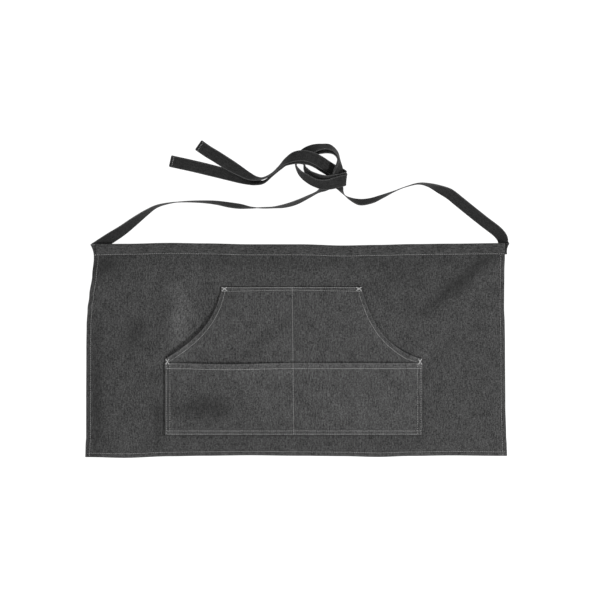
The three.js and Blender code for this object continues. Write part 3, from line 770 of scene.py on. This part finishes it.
def wall(name, surface, first, second, material, back=None):
    """A closed wall of cloth over a grid, from a function that gives its place, heights, wear and shade."""
    grid = np.meshgrid(first, second)
    x, y, bottom, top, wear, shade = (np.broadcast_to(v, grid[0].shape).ravel() for v in surface(*grid))
    columns = len(first)
    rows = len(second)
    count = columns * rows
    start = (np.arange(rows - 1)[:, None] * columns + np.arange(columns - 1)).ravel()
    under = np.column_stack([start, start + columns, start + columns + 1, start + 1])
    over = np.column_stack([start, start + 1, start + columns + 1, start + columns]) + count
    rims = []
    last_row = (rows - 1) * columns
    for k in range(columns - 1):
        rims.append((k, k + 1, k + 1 + count, k + count))
        rims.append((last_row + k + 1, last_row + k, last_row + k + count, last_row + k + 1 + count))
    for near in range(0, last_row, columns):
        far = near + columns - 1
        rims.append((near + columns, near, near + count, near + columns + count))
        rims.append((far, far + columns, far + columns + count, far + count))
    faces = over.tolist() + under.tolist() + rims
    points = np.vstack([np.column_stack([x, y, bottom]), np.column_stack([x, y, top])])
    # Painted shade and highlight of the folds with the denim's fading, plus the surface's own shades, among
    # them painted shade along rolled edges
    tone = soft_patches(PAINTED_FOLD_SHADE_AND_FADING, "tone", x, y) + shade
    values = {"wear": np.tile(wear, 2), "tone": np.tile(tone, 2)}
    piece = new_object(name, points, faces, points[:, :2], values, material)
    if back is not None:
        piece.data.materials.append(back)
        slots = np.zeros(len(faces), int)
        slots[len(over):len(over) + len(under)] = 1
        piece.data.polygons.foreach_set("material_index", slots)
    return piece


def lines(length, spacing, fine_start, fine_end, exact=()):
    """Grid lines from 0 to length, closer at the places named from its start and from its end.
    exact names places that have a line of their own."""
    places = [*np.arange(0, length, spacing), length, *EDGE_LINES]
    places += [length - inside for inside in EDGE_LINES]
    places += [at + step for at in fine_start for step in ROW_LINES]
    places += [length - at + step for at in fine_end for step in ROW_LINES]
    places = sorted(p for p in places if 0 <= p <= length)
    kept = [0.0]
    for place in places[1:]:
        clear = all(abs(place - own) > LINES_APART for own in exact)
        if clear and place - kept[-1] > LINES_APART:
            kept.append(place)
    kept[-1] = length
    return np.array(sorted(kept + list(exact)))


def catmull_rom(points, t, centripetal):
    """A point of a Catmull-Rom curve through points; t runs from 0 to 1 with equal steps between them."""
    last = len(points) - 1
    place = last * t
    i = min(int(math.floor(place)), last - 1)
    weight = place - i
    p1 = points[i]
    p2 = points[i + 1]
    p0 = points[i - 1] if i > 0 else 2 * points[0] - points[1]
    p3 = points[i + 2] if i + 2 <= last else 2 * points[last] - points[last - 1]
    if centripetal:
        d0 = math.sqrt(np.linalg.norm(p1 - p0))
        d1 = math.sqrt(np.linalg.norm(p2 - p1))
        d2 = math.sqrt(np.linalg.norm(p3 - p2))
        m1 = d1 * ((p1 - p0) / d0 - (p2 - p0) / (d0 + d1) + (p2 - p1) / d1)
        m2 = d1 * ((p2 - p1) / d1 - (p3 - p1) / (d1 + d2) + (p3 - p2) / d2)
    else:
        m1 = (p2 - p0) / 2
        m2 = (p3 - p1) / 2
    c2 = 3 * (p2 - p1) - 2 * m1 - m2
    c3 = 2 * (p1 - p2) + m1 + m2
    return p1 + m1 * weight + c2 * weight ** 2 + c3 * weight ** 3


def tangent(points, t):
    step = 0.0001
    ahead = catmull_rom(points, min(t + step, 1), True) - catmull_rom(points, max(t - step, 0), True)
    return ahead / np.linalg.norm(ahead)


def unit(vector):
    return vector / np.linalg.norm(vector)


def plan(degrees):
    return np.array([math.cos(math.radians(degrees)), math.sin(math.radians(degrees)), 0])


def route_place(x, y):
    foot = panel_top - WAIST_ABOVE_ROUTES
    return np.array([x * ROUTE_GRID_WIDTH, foot + y * ROUTE_GRID_WIDTH, 0])


def station(row):
    """A row of a route as a place and the way the strip's width points."""
    spread = row.get("spread", 0) * ROUTE_GRID_HEIGHT
    slide = row.get("slide", 0) * ROUTE_GRID_HEIGHT
    lean = math.radians(row["lean"])
    half_wide = (TIE_WIDTH + slide) / 2
    half_thick = (TIE_THICKNESS + spread) / 2
    place = route_place(row["x"], row["y"])
    lift = half_wide * abs(math.sin(lean)) + half_thick * abs(math.cos(lean))
    place[2] = row["level"] * ROUTE_GRID_HEIGHT + lift
    width = plan(row["side"]) * math.cos(lean)
    width[2] = math.sin(lean)
    return {"place": place, "width": width, "spread": spread, "slide": slide}


def fold_stations(start, heading_in, heading_out, radius, extra):
    """Stations round a fold: the strip rolls under about an axis between its two headings."""
    axis_heading = (heading_in + heading_out) / 2
    turns_left = 1 if heading_out > heading_in else -1
    theta = math.radians(abs(heading_in - axis_heading))
    axis = plan(axis_heading)
    outward = plan(axis_heading - 90 * turns_left)
    stations = []
    for i in range(FOLD_ROWS + 1):
        phi = math.pi * i / FOLD_ROWS
        place = start + axis * (radius * phi / math.tan(theta)) + outward * (radius * math.sin(phi))
        place[2] -= radius * (1 - math.cos(phi))
        width = axis * math.sin(theta) - outward * (math.cos(theta) * math.cos(phi))
        width[2] += math.cos(theta) * math.sin(phi)
        stations.append({"place": place, "width": width, **extra})
    return stations


def frames(stations):
    """Frames along a route: place, width and thickness ways at close steps, none below the floor."""
    places = [s["place"] for s in stations]
    widths = [s["width"] for s in stations]
    last = len(stations) - 1
    steps = []
    for i in range(last):
        length = np.linalg.norm(places[i + 1] - places[i])
        count = max(2, math.ceil(length / TIE_SECTION_SPACING))
        steps += [(i + k / count) / last for k in range(count)]
    end_run = np.linalg.norm(places[last] - places[last - 1])
    steps += [1 - inside / end_run / last for inside in TIE_END_LINES]
    steps.append(1.0)
    result = []
    for t in steps:
        place = catmull_rom(places, t, True)
        ahead = tangent(places, t)
        width = catmull_rom(widths, t, False)
        width = unit(width - ahead * width.dot(ahead))
        normal = unit(np.cross(ahead, width))
        reach = (abs(width[2]) * TIE_WIDTH + abs(normal[2]) * TIE_THICKNESS) / 2
        place[2] = max(place[2], FLOOR_GAP + reach)
        result.append((place, width, normal))
    return result


def offset_pair(pair, sign):
    """One tie's stations where both run together: set apart through its thickness and slid edgewise."""
    places = [s["place"] for s in pair]
    result = []
    for i, s in enumerate(pair):
        ahead = tangent(places, i / (len(pair) - 1))
        width = unit(s["width"] - ahead * s["width"].dot(ahead))
        normal = np.cross(ahead, width)
        place = s["place"] + normal * (sign * s["spread"] / 2) + width * (-sign * s["slide"] / 2)
        result.append({"place": place, "width": width})
    return result


def knot_stations(sign):
    spread = KNOT_FOLD["spread"] * ROUTE_GRID_HEIGHT
    slide = KNOT_FOLD["slide"] * ROUTE_GRID_HEIGHT
    start = route_place(KNOT_FOLD["x"], KNOT_FOLD["y"])
    start[2] = KNOT_FOLD["upper"] * ROUTE_GRID_HEIGHT + (TIE_THICKNESS + spread) / 2
    radius = (KNOT_FOLD["upper"] - KNOT_FOLD["lower"]) * ROUTE_GRID_HEIGHT / 2
    fold = fold_stations(start, KNOT_FOLD_IN, KNOT_FOLD_OUT, radius, {"spread": spread, "slide": slide})
    pair = [*map(station, KNOT_LOOP), *fold, *map(station, KNOT_TAIL)]
    return offset_pair(pair, sign)


def root_height(side):
    return band_floor(band_end(side)) + band_thickness / 2


def band_middle(x):
    return panel_top + edge_wave("waist", x) + GAP + CLOTH - BAND_HEIGHT / 2


def left_tie_stations():
    end = band_end("left")
    height = root_height("left")
    middle = band_middle(end)
    first = {"place": np.array([end - ROOT_GAP, middle, height]), "width": plan(90)}
    start = np.array([end - 2 * ROOT_GAP - ROOT_RUN, middle, height])
    radius = (height - TIE_THICKNESS / 2 - FLOOR_GAP) / 2
    fold = fold_stations(start, LEFT_ROOT_HEADING_IN, LEFT_ROOT_HEADING_OUT, radius, {})
    return [first, *fold, *map(station, LEFT_WAY_IN), *knot_stations(-1), *map(station, LEFT_WAY_OUT)]


def right_tie_stations():
    end = band_end("right")
    place = np.array([end + ROOT_GAP, band_middle(end), root_height("right")])
    first = {"place": place, "width": plan(90)}
    return [first, *map(station, RIGHT_WAY_IN), *knot_stations(1), *map(station, RIGHT_WAY_OUT)]


def tie_profile():
    """The strip's section as pairs of a share of the half width and an offset through its thickness."""
    half = TIE_THICKNESS / 2
    across = [-1, -0.985, -0.93, -0.86, -0.8, -0.5, 0, 0.5, 0.8, 0.86, 0.93, 0.985, 1]
    depth = {1: 0.15, 0.985: 0.75, 0.93: 1.0, 0.86: 0.86, 0.8: 0.8, 0.5: 0.84, 0: 0.86}
    over = [(w, half * depth[abs(w)]) for w in across]
    under = [(w, -half * depth[abs(w)]) for w in reversed(across)]
    return over + under


def ring_faces(first, rings, count):
    """The faces of a closed skin through rings of count points each, with both ends shut."""
    faces = []
    for start in range(first, first + (rings - 1) * count, count):
        for k in range(count):
            a = start + k
            b = start + (k + 1) % count
            faces.append((a, a + count, b + count, b))
    last = first + (rings - 1) * count
    faces.append(tuple(range(first, first + count)))
    faces.append(tuple(reversed(range(last, last + count))))
    return faces


def loft(name, sections, uvs, values, material):
    """A closed loft through sections that all have the same number of points."""
    faces = ring_faces(0, len(sections), len(sections[0]))
    return new_object(name, np.vstack(sections), faces, uvs, values, material)


def make_tie(side, stations, root_tone):
    """A tie along its stations, with its path and its length; root_tone is how much lighter it is
    where it leaves the waistband."""
    path = frames(stations)
    profile = tie_profile()
    total = sum(np.linalg.norm(b[0] - a[0]) for a, b in zip(path, path[1:]))
    sections = []
    uvs = []
    wear = []
    tone = []
    run = 0
    for i, (place, width, normal) in enumerate(path):
        if i:
            run += np.linalg.norm(place - path[i - 1][0])
        wave = TIE_WAVE * soft_noise(run, 0, TIE_WAVE_LENGTH, 31)
        flare = 1 + TIE_END_FLARE * smooth((run - total + 2 * TIE_FLARE_RUN) / TIE_FLARE_RUN)
        corner = max(0, 1 - (total - run) / TIE_CORNER)
        half_width = TIE_WIDTH / 2 * flare - TIE_CORNER * (1 - math.sqrt(1 - corner * corner))
        root = root_tone * (1 - smooth((run - TIE_ROOT_RUN) / TIE_ROOT_RUN))
        points = []
        for w, n in profile:
            point = place + width * (w * half_width + wave * (1 - abs(w)))
            point = point + normal * (n * (1 - corner / 2))
            point[2] = max(point[2], FLOOR_GAP / 2)
            points.append(point)
            uvs.append((w * TIE_WIDTH / 2, run))
            # This edge value paints the ties' edge highlights along with their wear
            wear.append(float(smooth((abs(w) - TIE_WEAR_AND_HIGHLIGHT_FROM) / TIE_WEAR_AND_HIGHLIGHT_SHARE)))
            tone.append(float(root))
        sections.append(np.array(points))
    tie = loft(f"{side}_tie_denim", sections, uvs, {"wear": wear, "tone": tone}, TIE_DENIM)
    return tie, path, run


def band_profile(floor, top):
    """The waistband's section, with points round its fold, as pairs of y and z and an edge wear."""
    low = top - BAND_HEIGHT
    roof = floor + band_thickness
    middle = (floor + roof) / 2
    outer = [(low, floor + 0.35, 1), (low + 0.6, floor, 0.4), (low + 6, floor, 0), (top - 3, floor, 0)]
    bend = band_thickness / 2
    for k in range(7):
        angle = math.pi * (k / 6 - 0.5)
        y = top - bend + bend * math.cos(angle)
        outer.append((y, middle + bend * math.sin(angle), math.cos(angle)))
    outer += [(top - 5, roof + 0.15, 0), (top - 10, roof + 0.25, 0), (low + 6, roof + 0.15, 0)]
    outer += [(low + 3, roof - 0.05, 0), (low + BAND_STITCH + 0.7, roof - 0.12, 0)]
    outer.append((low + BAND_STITCH, roof - BAND_STITCH_SUNK, 0.2))
    outer += [(low + 0.6, roof - 0.15, 0.6), (low, roof - 0.55, 1)]
    inner = [(low, roof - CLOTH, 0), (top - CLOTH - 1, roof - CLOTH, 0), (top - CLOTH, middle, 0)]
    inner += [(top - CLOTH - 1, floor + CLOTH, 0), (low, floor + CLOTH, 0)]
    return outer + inner


def make_waistband():
    start = band_end("left")
    end = band_end("right")
    count = int((end - start) / BAND_SECTION_SPACING)
    sections = []
    uvs = []
    wear = []
    for s in range(count + 1):
        x = lerp(start, end, s / count)
        top = panel_top + edge_wave("waist", x) + GAP + CLOTH
        points = []
        for y, z, worn in band_profile(band_floor(x), top):
            above = z > band_floor(x) + band_thickness / 2
            if above:
                z += BAND_FINE_HEIGHT * soft_noise(x, y - top, BAND_FINE_SIZE, 41)
                z += BAND_BROAD_HEIGHT * soft_noise(x, 0, BAND_BROAD_SIZE, 42)
            points.append((x, y, z))
            uvs.append((y - top if above else top - y, x))
            wear.append(worn)
        sections.append(np.array(points))
    return loft("waistband_denim", sections, uvs, {"wear": wear}, BAND_DENIM)


def resample(points, pitch):
    """Places at an even pitch along a line of points, with the way that it runs there."""
    points = np.asarray(points, float)
    steps = np.linalg.norm(np.diff(points, axis=0), axis=1)
    run = np.concatenate([[0], np.cumsum(steps)])
    count = max(1, int(run[-1] / pitch))
    at = (np.arange(count) + 0.5) * run[-1] / count
    here = np.column_stack([np.interp(at, run, points[:, k]) for k in range(3)])
    back = np.column_stack([np.interp(at - ROW_WAY_REACH, run, points[:, k]) for k in range(3)])
    ahead = np.column_stack([np.interp(at + ROW_WAY_REACH, run, points[:, k]) for k in range(3)])
    ways = ahead - back
    return here, ways / np.linalg.norm(ways, axis=1)[:, None]


class Threads:
    """Collects stitches, each a small bowed thread, into one mesh."""

    def __init__(self, name, seed):
        self.name = name
        self.points = []
        self.faces = []
        self.uvs = []
        self.random = np.random.default_rng(SEED + seed)

    def stitch(self, place, way, up, length=STITCH_LENGTH, thick=1.0, proud=STITCH_PROUD):
        side = unit(np.cross(way, up))
        up = np.cross(side, way)
        first = len(self.points)
        for ring in STITCH_RINGS:
            centre = place + way * (ring["along"] * length / 2)
            size = ring["size"] * thick
            for k in range(THREAD_CORNERS):
                angle = 2 * math.pi * k / THREAD_CORNERS
                height = math.sin(angle) * THREAD_HALF_HEIGHT * size + ring["lift"] + proud
                point = centre + side * (math.cos(angle) * THREAD_HALF_WIDTH * size) + up * height
                self.points.append(point)
                self.uvs.append((k / THREAD_CORNERS, ring["along"] * length / 2))
        inside_out = ring_faces(first, len(STITCH_RINGS), THREAD_CORNERS)
        self.faces += [face[::-1] for face in inside_out]

    def row(self, points, up=(0, 0, 1), pitch=STITCH_PITCH, stitch_length=STITCH_LENGTH, thick=1.0):
        """A row of stitches along a line of points."""
        for place, way in zip(*resample(points, pitch)):
            swung = way + np.cross(up, way) * self.random.normal(0, STITCH_SWING)
            length = stitch_length * self.random.uniform(STITCH_SHORTEST, STITCH_LONGEST)
            self.stitch(place, unit(swung), np.array(up, float), length, thick)

    def rows_across(self, surface, heights):
        """Rows from side to side of a pocket, one at each height."""
        halves = np.linspace(-ROW_END_SHARE, ROW_END_SHARE, 300)
        for y in heights:
            self.row(on_surface(surface, halves, np.full_like(halves, y)))

    def seam(self, surface, low, high):
        """The row along a pocket's centre seam."""
        y = np.linspace(low, high, 120)
        self.row(on_surface(surface, np.zeros_like(y), y))

    def tack(self, place, heading, raised):
        """A bar of close threads that lie across it, on top of the pockets' cloth."""
        way = plan(heading)
        across = plan(heading + 90)
        for k in range(TACK_THREADS):
            at = TACK_LENGTH * (k / (TACK_THREADS - 1) - 0.5)
            slant = unit(across + way * (TACK_SLANT if k % 2 else -TACK_SLANT))
            here = place + way * at + across * self.random.normal(0, TACK_SCATTER)
            here[2] = pocket_height(here[0], here[1]) + raised
            self.stitch(here, slant, np.array([0, 0, 1.0]), TACK_WIDTH, TACK_THICK)

    def build(self, material):
        return new_object(self.name, self.points, self.faces, self.uvs, None, material)


def on_surface(surface, first, second):
    """Points on top of a cloth surface, from its two coordinates."""
    x, y, _, top, _, _ = surface(np.asarray(first, float), np.asarray(second, float))
    return np.column_stack(np.broadcast_arrays(x, y, top))


def pocket_height(x, y):
    """Height of the uppermost pocket cloth near a pocket's side."""
    share = mouth_share(y)
    edge = mouth_point("left" if x < 0 else "right", share)[0]
    half = np.clip(abs((x - centre_seam(y)) / (edge - centre_seam(y))), 0, 0.99)
    half = -half if x < 0 else half
    surface = front_surface if y < front_top else kangaroo_surface
    return on_surface(surface, [half], [y])[0][2]


class Looks:
    """A new material, with short ways to build its nodes. An input is a number, a list or an output."""

    def __init__(self, name):
        self.material = bpy.data.materials.new(name)
        self.material.use_nodes = True
        self.tree = self.material.node_tree
        self.shader = self.tree.nodes["Principled BSDF"]

    def fill(self, made, inputs):
        for key, value in inputs.items():
            if isinstance(value, bpy.types.NodeSocket):
                self.tree.links.new(value, made.inputs[key])
            else:
                made.inputs[key].default_value = value

    def node(self, kind, inputs, **settings):
        made = self.tree.nodes.new(kind)
        for key, value in settings.items():
            setattr(made, key, value)
        self.fill(made, inputs)
        return made.outputs

    def math(self, operation, a, b):
        return self.node("ShaderNodeMath", {0: a, 1: b}, operation=operation)[0]

    def cloth_map(self, scale=(1, 1, 1)):
        uv = self.node("ShaderNodeUVMap", {}, uv_map="cloth")["UV"]
        return self.node("ShaderNodeMapping", {"Vector": uv, "Scale": scale})["Vector"]

    def noise(self, scale, detail, roughness):
        inputs = {"Vector": self.cloth_map(scale), "Scale": 1, "Detail": detail, "Roughness": roughness}
        return self.node("ShaderNodeTexNoise", inputs)["Fac"]

    def stripes(self, inputs):
        return self.node("ShaderNodeTexWave", inputs, wave_type="BANDS", bands_direction="DIAGONAL")["Fac"]

    def attribute(self, name):
        return self.node("ShaderNodeAttribute", {}, attribute_name=name)["Fac"]

    def blend(self, terms):
        """1 plus the sum of weight times (value - 0.5) over the terms."""
        total = 1.0
        for value, weight in terms:
            centred = self.math("SUBTRACT", value, 0.5)
            total = self.math("ADD", total, self.math("MULTIPLY", centred, weight))
        return total

    def grey(self, value, tint=(1, 1, 1)):
        """A colour of the given brightness: tint times value."""
        shares = {k: self.math("MULTIPLY", value, share) for k, share in enumerate(tint)}
        return self.node("ShaderNodeCombineColor", shares)["Color"]

    def bump(self, height, strength, distance):
        inputs = {"Height": height, "Strength": strength, "Distance": distance * MM}
        return self.node("ShaderNodeBump", inputs)["Normal"]


def denim(name, brightness, streak=1.0, wear_and_highlight_gain=0.5):
    """Dark denim: fine streaks along the warp, a twill bump, soft fading and worn edges, with painted shade
    and highlight brought in by the tone attribute; on the ties the lightened edges are partly painted
    highlights.
    brightness is the linear reflectance; the cloth map's second coordinate runs along the warp."""
    looks = Looks(name)
    noises = {}
    terms = []
    for row in DENIM_NOISES:
        found = looks.noise(row["scale"], row["detail"], row["roughness"])
        noises[row["name"]] = found
        terms.append((found, row["weight"] * (1 if row["name"] == "patches" else streak)))
    twill_map = looks.cloth_map(TWILL_SCALE)
    twill = looks.stripes({"Vector": twill_map, "Scale": 0.5, "Distortion": 0.6, "Detail": 1})
    tone = looks.blend([*terms, (twill, TWILL_WEIGHT)])
    patchy = looks.math("ADD", noises["short_streaks"], 0.2)
    worn = looks.math("MULTIPLY", looks.attribute("wear"), patchy)
    # Worn edges are lighter; on the ties the large gain also paints edge highlights
    tone = looks.math("ADD", tone, looks.math("MULTIPLY", worn, wear_and_highlight_gain))
    # The tone attribute brings in painted shade and painted highlight as well as the denim's fading
    tone = looks.math("MULTIPLY", tone, looks.math("ADD", looks.attribute("tone"), 1.0))
    tone = looks.math("MAXIMUM", tone, 0.25)
    height = looks.math("MULTIPLY", twill, 0.5)
    for noise in ("flecks", "short_streaks"):
        height = looks.math("ADD", height, looks.math("MULTIPLY", noises[noise], 0.6))
    looks.fill(looks.shader, {
        "Base Color": looks.grey(looks.math("MULTIPLY", tone, brightness)),
        "Roughness": looks.math("ADD", looks.math("MULTIPLY", noises["flecks"], 0.12), 0.82),
        "Sheen Weight": 0.05,
        "Sheen Roughness": 0.5,
        "Specular IOR Level": 0.15,
        "Normal": looks.bump(height, 0.5, 0.25),
    })
    return looks.material


def thread(name, brightness):
    """Spun thread: a light grey twist."""
    looks = Looks(name)
    twist = looks.stripes({"Vector": looks.cloth_map(), "Scale": 1.2})
    tone = looks.blend([(twist, 0.3), (looks.noise((6, 6, 1), 2, 0.6), 0.4)])
    looks.fill(looks.shader, {
        "Base Color": looks.grey(looks.math("MULTIPLY", tone, brightness), THREAD_TINT),
        "Roughness": 0.7,
        "Sheen Weight": 0.2,
        "Normal": looks.bump(twist, 0.6, 0.1),
    })
    return looks.material


PANEL_DENIM = denim("panel_denim", 0.036)
BACK_DENIM = denim("back_denim", 0.1, streak=0.7)
POCKET_DENIM = denim("pocket_denim", 0.041)
BAND_DENIM = denim("band_denim", 0.034)
# The ties' large gain paints highlights along their edges as well as wear
TIE_DENIM = denim("tie_denim", 0.013, streak=0.7, wear_and_highlight_gain=3.6)
HEM_THREAD = thread("hem_thread", 0.26)
SEAM_THREAD = thread("seam_thread", 0.32)
TACK_THREAD = thread("tack_thread", 0.42)
TIE_THREAD = thread("tie_thread", 0.05)
TIE_END_THREAD = thread("tie_end_thread", 0.3)


def make_panel():
    fine_left = [SIDE_STITCH_LEFT, SIDE_HEM + 1]
    fine_right = [SIDE_STITCH_RIGHT, SIDE_HEM + 1]
    across = lines(HEM_WIDTH, PANEL_LINE_SPACING, fine_left, fine_right) / HEM_WIDTH
    band_edge = band_low - panel_bottom
    band_lines = [band_edge, band_edge + GAP]
    up = lines(PANEL_HEIGHT, PANEL_LINE_SPACING, [BOTTOM_STITCH], [], band_lines) / PANEL_HEIGHT
    panel = wall("panel_denim", panel_surface, across, up, PANEL_DENIM, BACK_DENIM)
    threads = Threads("panel_stitches", 51)
    up_run = np.linspace(HEM_ROW_START, band_edge / PANEL_HEIGHT, 240)
    width = side_edge("right", up_run) - side_edge("left", up_run)
    threads.row(on_surface(panel_surface, SIDE_STITCH_LEFT / width, up_run))
    threads.row(on_surface(panel_surface, 1 - SIDE_STITCH_RIGHT / width, up_run))
    across_run = np.linspace(HEM_ROW_START, 1 - HEM_ROW_START, 480)
    bottom_run = np.full_like(across_run, BOTTOM_STITCH / PANEL_HEIGHT)
    threads.row(on_surface(panel_surface, across_run, bottom_run), thick=BOTTOM_THICK)
    return panel, threads.build(HEM_THREAD)


def pocket_halves():
    half_width = POCKET_WIDTH / 2
    rows = [SIDE_EDGE_ROW, MOUTH_ROW, SIDE_INNER_ROW]
    side = lines(half_width, POCKET_LINE_SPACING, [], rows) / half_width
    return np.concatenate([-side[::-1], side[1:]])


def side_half(distance, y):
    """The half coordinates of a line at a distance inside the pocket's left and right edges."""
    left = -(1 - distance / (centre_seam(y) - pocket_left))
    right = 1 - distance / (pocket_right - centre_seam(y))
    return left, right


def mouth_half(distance, y):
    """The half coordinates of a line that follows the curved mouths and runs on past their feet."""
    below = np.maximum(mouth_foot - y, 0)
    found = []
    for side, turn in (("left", -1), ("right", 1)):
        lean = mouth_lean(side, y)
        width = np.abs(mouth_point(side, mouth_share(y))[0] - centre_seam(y))
        across = (distance - below * np.sqrt(1 - lean * lean)) / lean
        found.append(turn * (1 - across / width))
    return found


def make_kangaroo_pocket():
    head_rows = [HEAD_EDGE_ROW, HEAD_INNER_ROW]
    heights = lines(KANGAROO_HEIGHT, POCKET_LINE_SPACING, [FOOT_INNER_ROW], head_rows)
    y_lines = pocket_bottom + heights
    pocket = wall("kangaroo_denim", kangaroo_surface, pocket_halves(), y_lines, POCKET_DENIM)
    threads = Threads("kangaroo_stitches", 52)
    inner = np.linspace(mouth_foot - MOUTH_ROW_PAST_FOOT, kangaroo_top - 1, 140)
    for half in mouth_half(MOUTH_ROW, inner):
        threads.row(on_surface(kangaroo_surface, half, inner))
    threads.rows_across(kangaroo_surface, [kangaroo_top - inside for inside in head_rows])
    threads.seam(kangaroo_surface, front_top + 3, kangaroo_top - HEAD_EDGE_ROW)
    return pocket, threads.build(SEAM_THREAD)


def make_front_pocket():
    foot_rows = [FOOT_EDGE_ROW, FOOT_INNER_ROW]
    heights = lines(FRONT_POCKET_HEIGHT, POCKET_LINE_SPACING, foot_rows, [FRONT_TOP_ROW])
    y_lines = pocket_bottom + heights
    pocket = wall("front_pocket_denim", front_surface, pocket_halves(), y_lines, POCKET_DENIM)
    threads = Threads("front_pocket_stitches", 53)
    rise = np.linspace(pocket_bottom + FOOT_EDGE_ROW, front_top - 1, 120)
    for distance in (SIDE_EDGE_ROW, SIDE_INNER_ROW):
        for half in side_half(distance, rise):
            side_row = on_surface(front_surface, half, rise)
            threads.row(side_row, pitch=SIDE_PITCH, stitch_length=SIDE_LENGTH, thick=SIDE_THICK)
    foot_heights = [pocket_bottom + inside for inside in foot_rows]
    threads.rows_across(front_surface, [*foot_heights, front_top - FRONT_TOP_ROW])
    threads.seam(front_surface, pocket_bottom + FOOT_EDGE_ROW, front_top)
    return pocket, threads.build(SEAM_THREAD)


def make_tacks():
    """A tack at each end of both curved mouths: two bars that cross."""
    threads = Threads("bar_tacks", 54)
    for corner in (-1, 1):
        head = on_surface(kangaroo_surface, [corner * TACK_HEAD_SHARE], [kangaroo_top - TACK_HEAD_DROP])[0]
        foot = on_surface(kangaroo_surface, [corner * TACK_FOOT_SHARE], [mouth_foot - TACK_FOOT_DROP])[0]
        for place, heading in ((head, 0), (foot, 90)):
            threads.tack(place, heading + TACK_CROSSING, 0)
            threads.tack(place, heading - TACK_CROSSING, TACK_RAISED)
    return threads.build(TACK_THREAD)


def make_band_stitches():
    threads = Threads("waistband_stitches", 55)
    x = np.linspace(band_end("left") + 2, band_end("right") - 2, 400)
    y = panel_top + edge_wave("waist", x) + GAP + CLOTH - BAND_HEIGHT + BAND_STITCH
    z = band_floor(x) + band_thickness - BAND_STITCH_SUNK
    threads.row(np.column_stack([x, y, z]))
    return threads.build(HEM_THREAD)


def make_tie_end(side, path, seed):
    """The row of stitches across a tie's free end, on both of its faces."""
    threads = Threads(f"{side}_tie_end_stitches", seed)
    last_place = path[-1][0]
    misses = [abs(np.linalg.norm(f[0] - last_place) - TIE_END_ROW) for f in path]
    place, width, normal = path[int(np.argmin(misses))]
    reach = TIE_END_ROW_SHARE * TIE_WIDTH / 2
    for face in (normal, -normal):
        middle = place + face * (TIE_END_ROW_DEPTH * TIE_THICKNESS)
        threads.row([middle - width * reach, middle + width * reach], face, TIE_END_PITCH)
    return threads.build(TIE_END_THREAD)


def make_tie_stitches(side, path, seed):
    """The row along a tie's sewn edge, on both of its faces."""
    threads = Threads(f"{side}_tie_stitches", seed)
    run = 0
    next_at = STITCH_PITCH
    for before, here in zip(path, path[1:]):
        step = np.linalg.norm(here[0] - before[0])
        way = unit(here[0] - before[0])
        while next_at <= run + step:
            share = (next_at - run) / step
            place = lerp(before[0], here[0], share)
            width = unit(lerp(before[1], here[1], share))
            normal = unit(lerp(before[2], here[2], share))
            edge = place + width * (TIE_WIDTH / 2 - TIE_EDGE_ROW)
            for face in (normal, -normal):
                on_face = edge + face * (TIE_ROW_DEPTH * TIE_THICKNESS)
                threads.stitch(on_face, way, face, thick=TIE_THICK, proud=0)
            next_at += STITCH_PITCH
        run += step
    return threads.build(TIE_THREAD)


def place_piece(piece, node_name=None):
    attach(piece, "root")
    if node_name:
        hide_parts(node_name)
    return piece


panel, panel_stitches = make_panel()
place_piece(panel, "panel")
place_piece(panel_stitches)
waistband = place_piece(make_waistband(), "waistband")
band_stitches = place_piece(make_band_stitches())
kangaroo, kangaroo_stitches = make_kangaroo_pocket()
place_piece(kangaroo, "pocket_kangaroo")
place_piece(kangaroo_stitches)
front, front_stitches = make_front_pocket()
place_piece(front, "pocket_front")
place_piece(front_stitches)
tacks = place_piece(make_tacks())

ties = {
    "left": make_tie("left", left_tie_stations(), LEFT_ROOT_TONE),
    "right": make_tie("right", right_tie_stations(), RIGHT_ROOT_TONE),
}
sewing = {side: [] for side in ties}
for side, (tie, path, length) in ties.items():
    place_piece(tie, f"tie_{side}")
for make_row, first_seed in ((make_tie_stitches, 56), (make_tie_end, 58)):
    for k, (side, (tie, path, length)) in enumerate(ties.items()):
        sewing[side].append(place_piece(make_row(side, path, first_seed + k)))


def make_floor():
    half = FLOOR_SIZE / 2
    corners = [(x * half, y * half, -FLOOR_BELOW) for x, y in ((-1, -1), (1, -1), (1, 1), (-1, 1))]
    looks = Looks("pale_floor")
    looks.fill(looks.shader, {
        "Base Color": (FLOOR_BRIGHTNESS, FLOOR_BRIGHTNESS, FLOOR_BRIGHTNESS, 1),
        "Roughness": 0.9,
        "Specular IOR Level": 0.1,
        "Emission Color": (1, 1, 1, 1),
        "Emission Strength": FLOOR_GLOW,
    })
    new_object("floor", corners, [(0, 1, 2, 3)], material=looks.material)


def make_light(name, place, target, size, power):
    data = bpy.data.lights.new(name, "AREA")
    data.shape = "DISK"
    data.size = size
    data.energy = power
    light = bpy.data.objects.new(name, data)
    light.location = place
    light.rotation_euler = (Vector(target) - Vector(place)).to_track_quat("-Z", "Y").to_euler()
    bpy.context.scene.collection.objects.link(light)


def make_camera():
    data = bpy.data.cameras.new("camera")
    data.sensor_width = SENSOR_WIDTH
    data.lens = SENSOR_WIDTH * CAMERA_HEIGHT / VIEW_WIDTH
    data.clip_end = 100
    camera = bpy.data.objects.new("camera", data)
    camera.location = (VIEW_CENTRE_X * MM, VIEW_CENTRE_Y * MM, CAMERA_HEIGHT * MM)
    bpy.context.scene.collection.objects.link(camera)
    bpy.context.scene.camera = camera


def make_world():
    world = bpy.data.worlds.new("studio")
    world.use_nodes = True
    background = world.node_tree.nodes["Background"]
    background.inputs["Color"].default_value = (1, 1, 1, 1)
    background.inputs["Strength"].default_value = WORLD_STRENGTH
    bpy.context.scene.world = world


make_floor()
make_camera()
make_world()
make_light("key_light", KEY_PLACE, KEY_TARGET, KEY_SIZE, KEY_POWER)
make_light("fill_light", FILL_PLACE, FILL_TARGET, FILL_SIZE, FILL_POWER)
bpy.context.scene.view_settings.view_transform = "Standard"
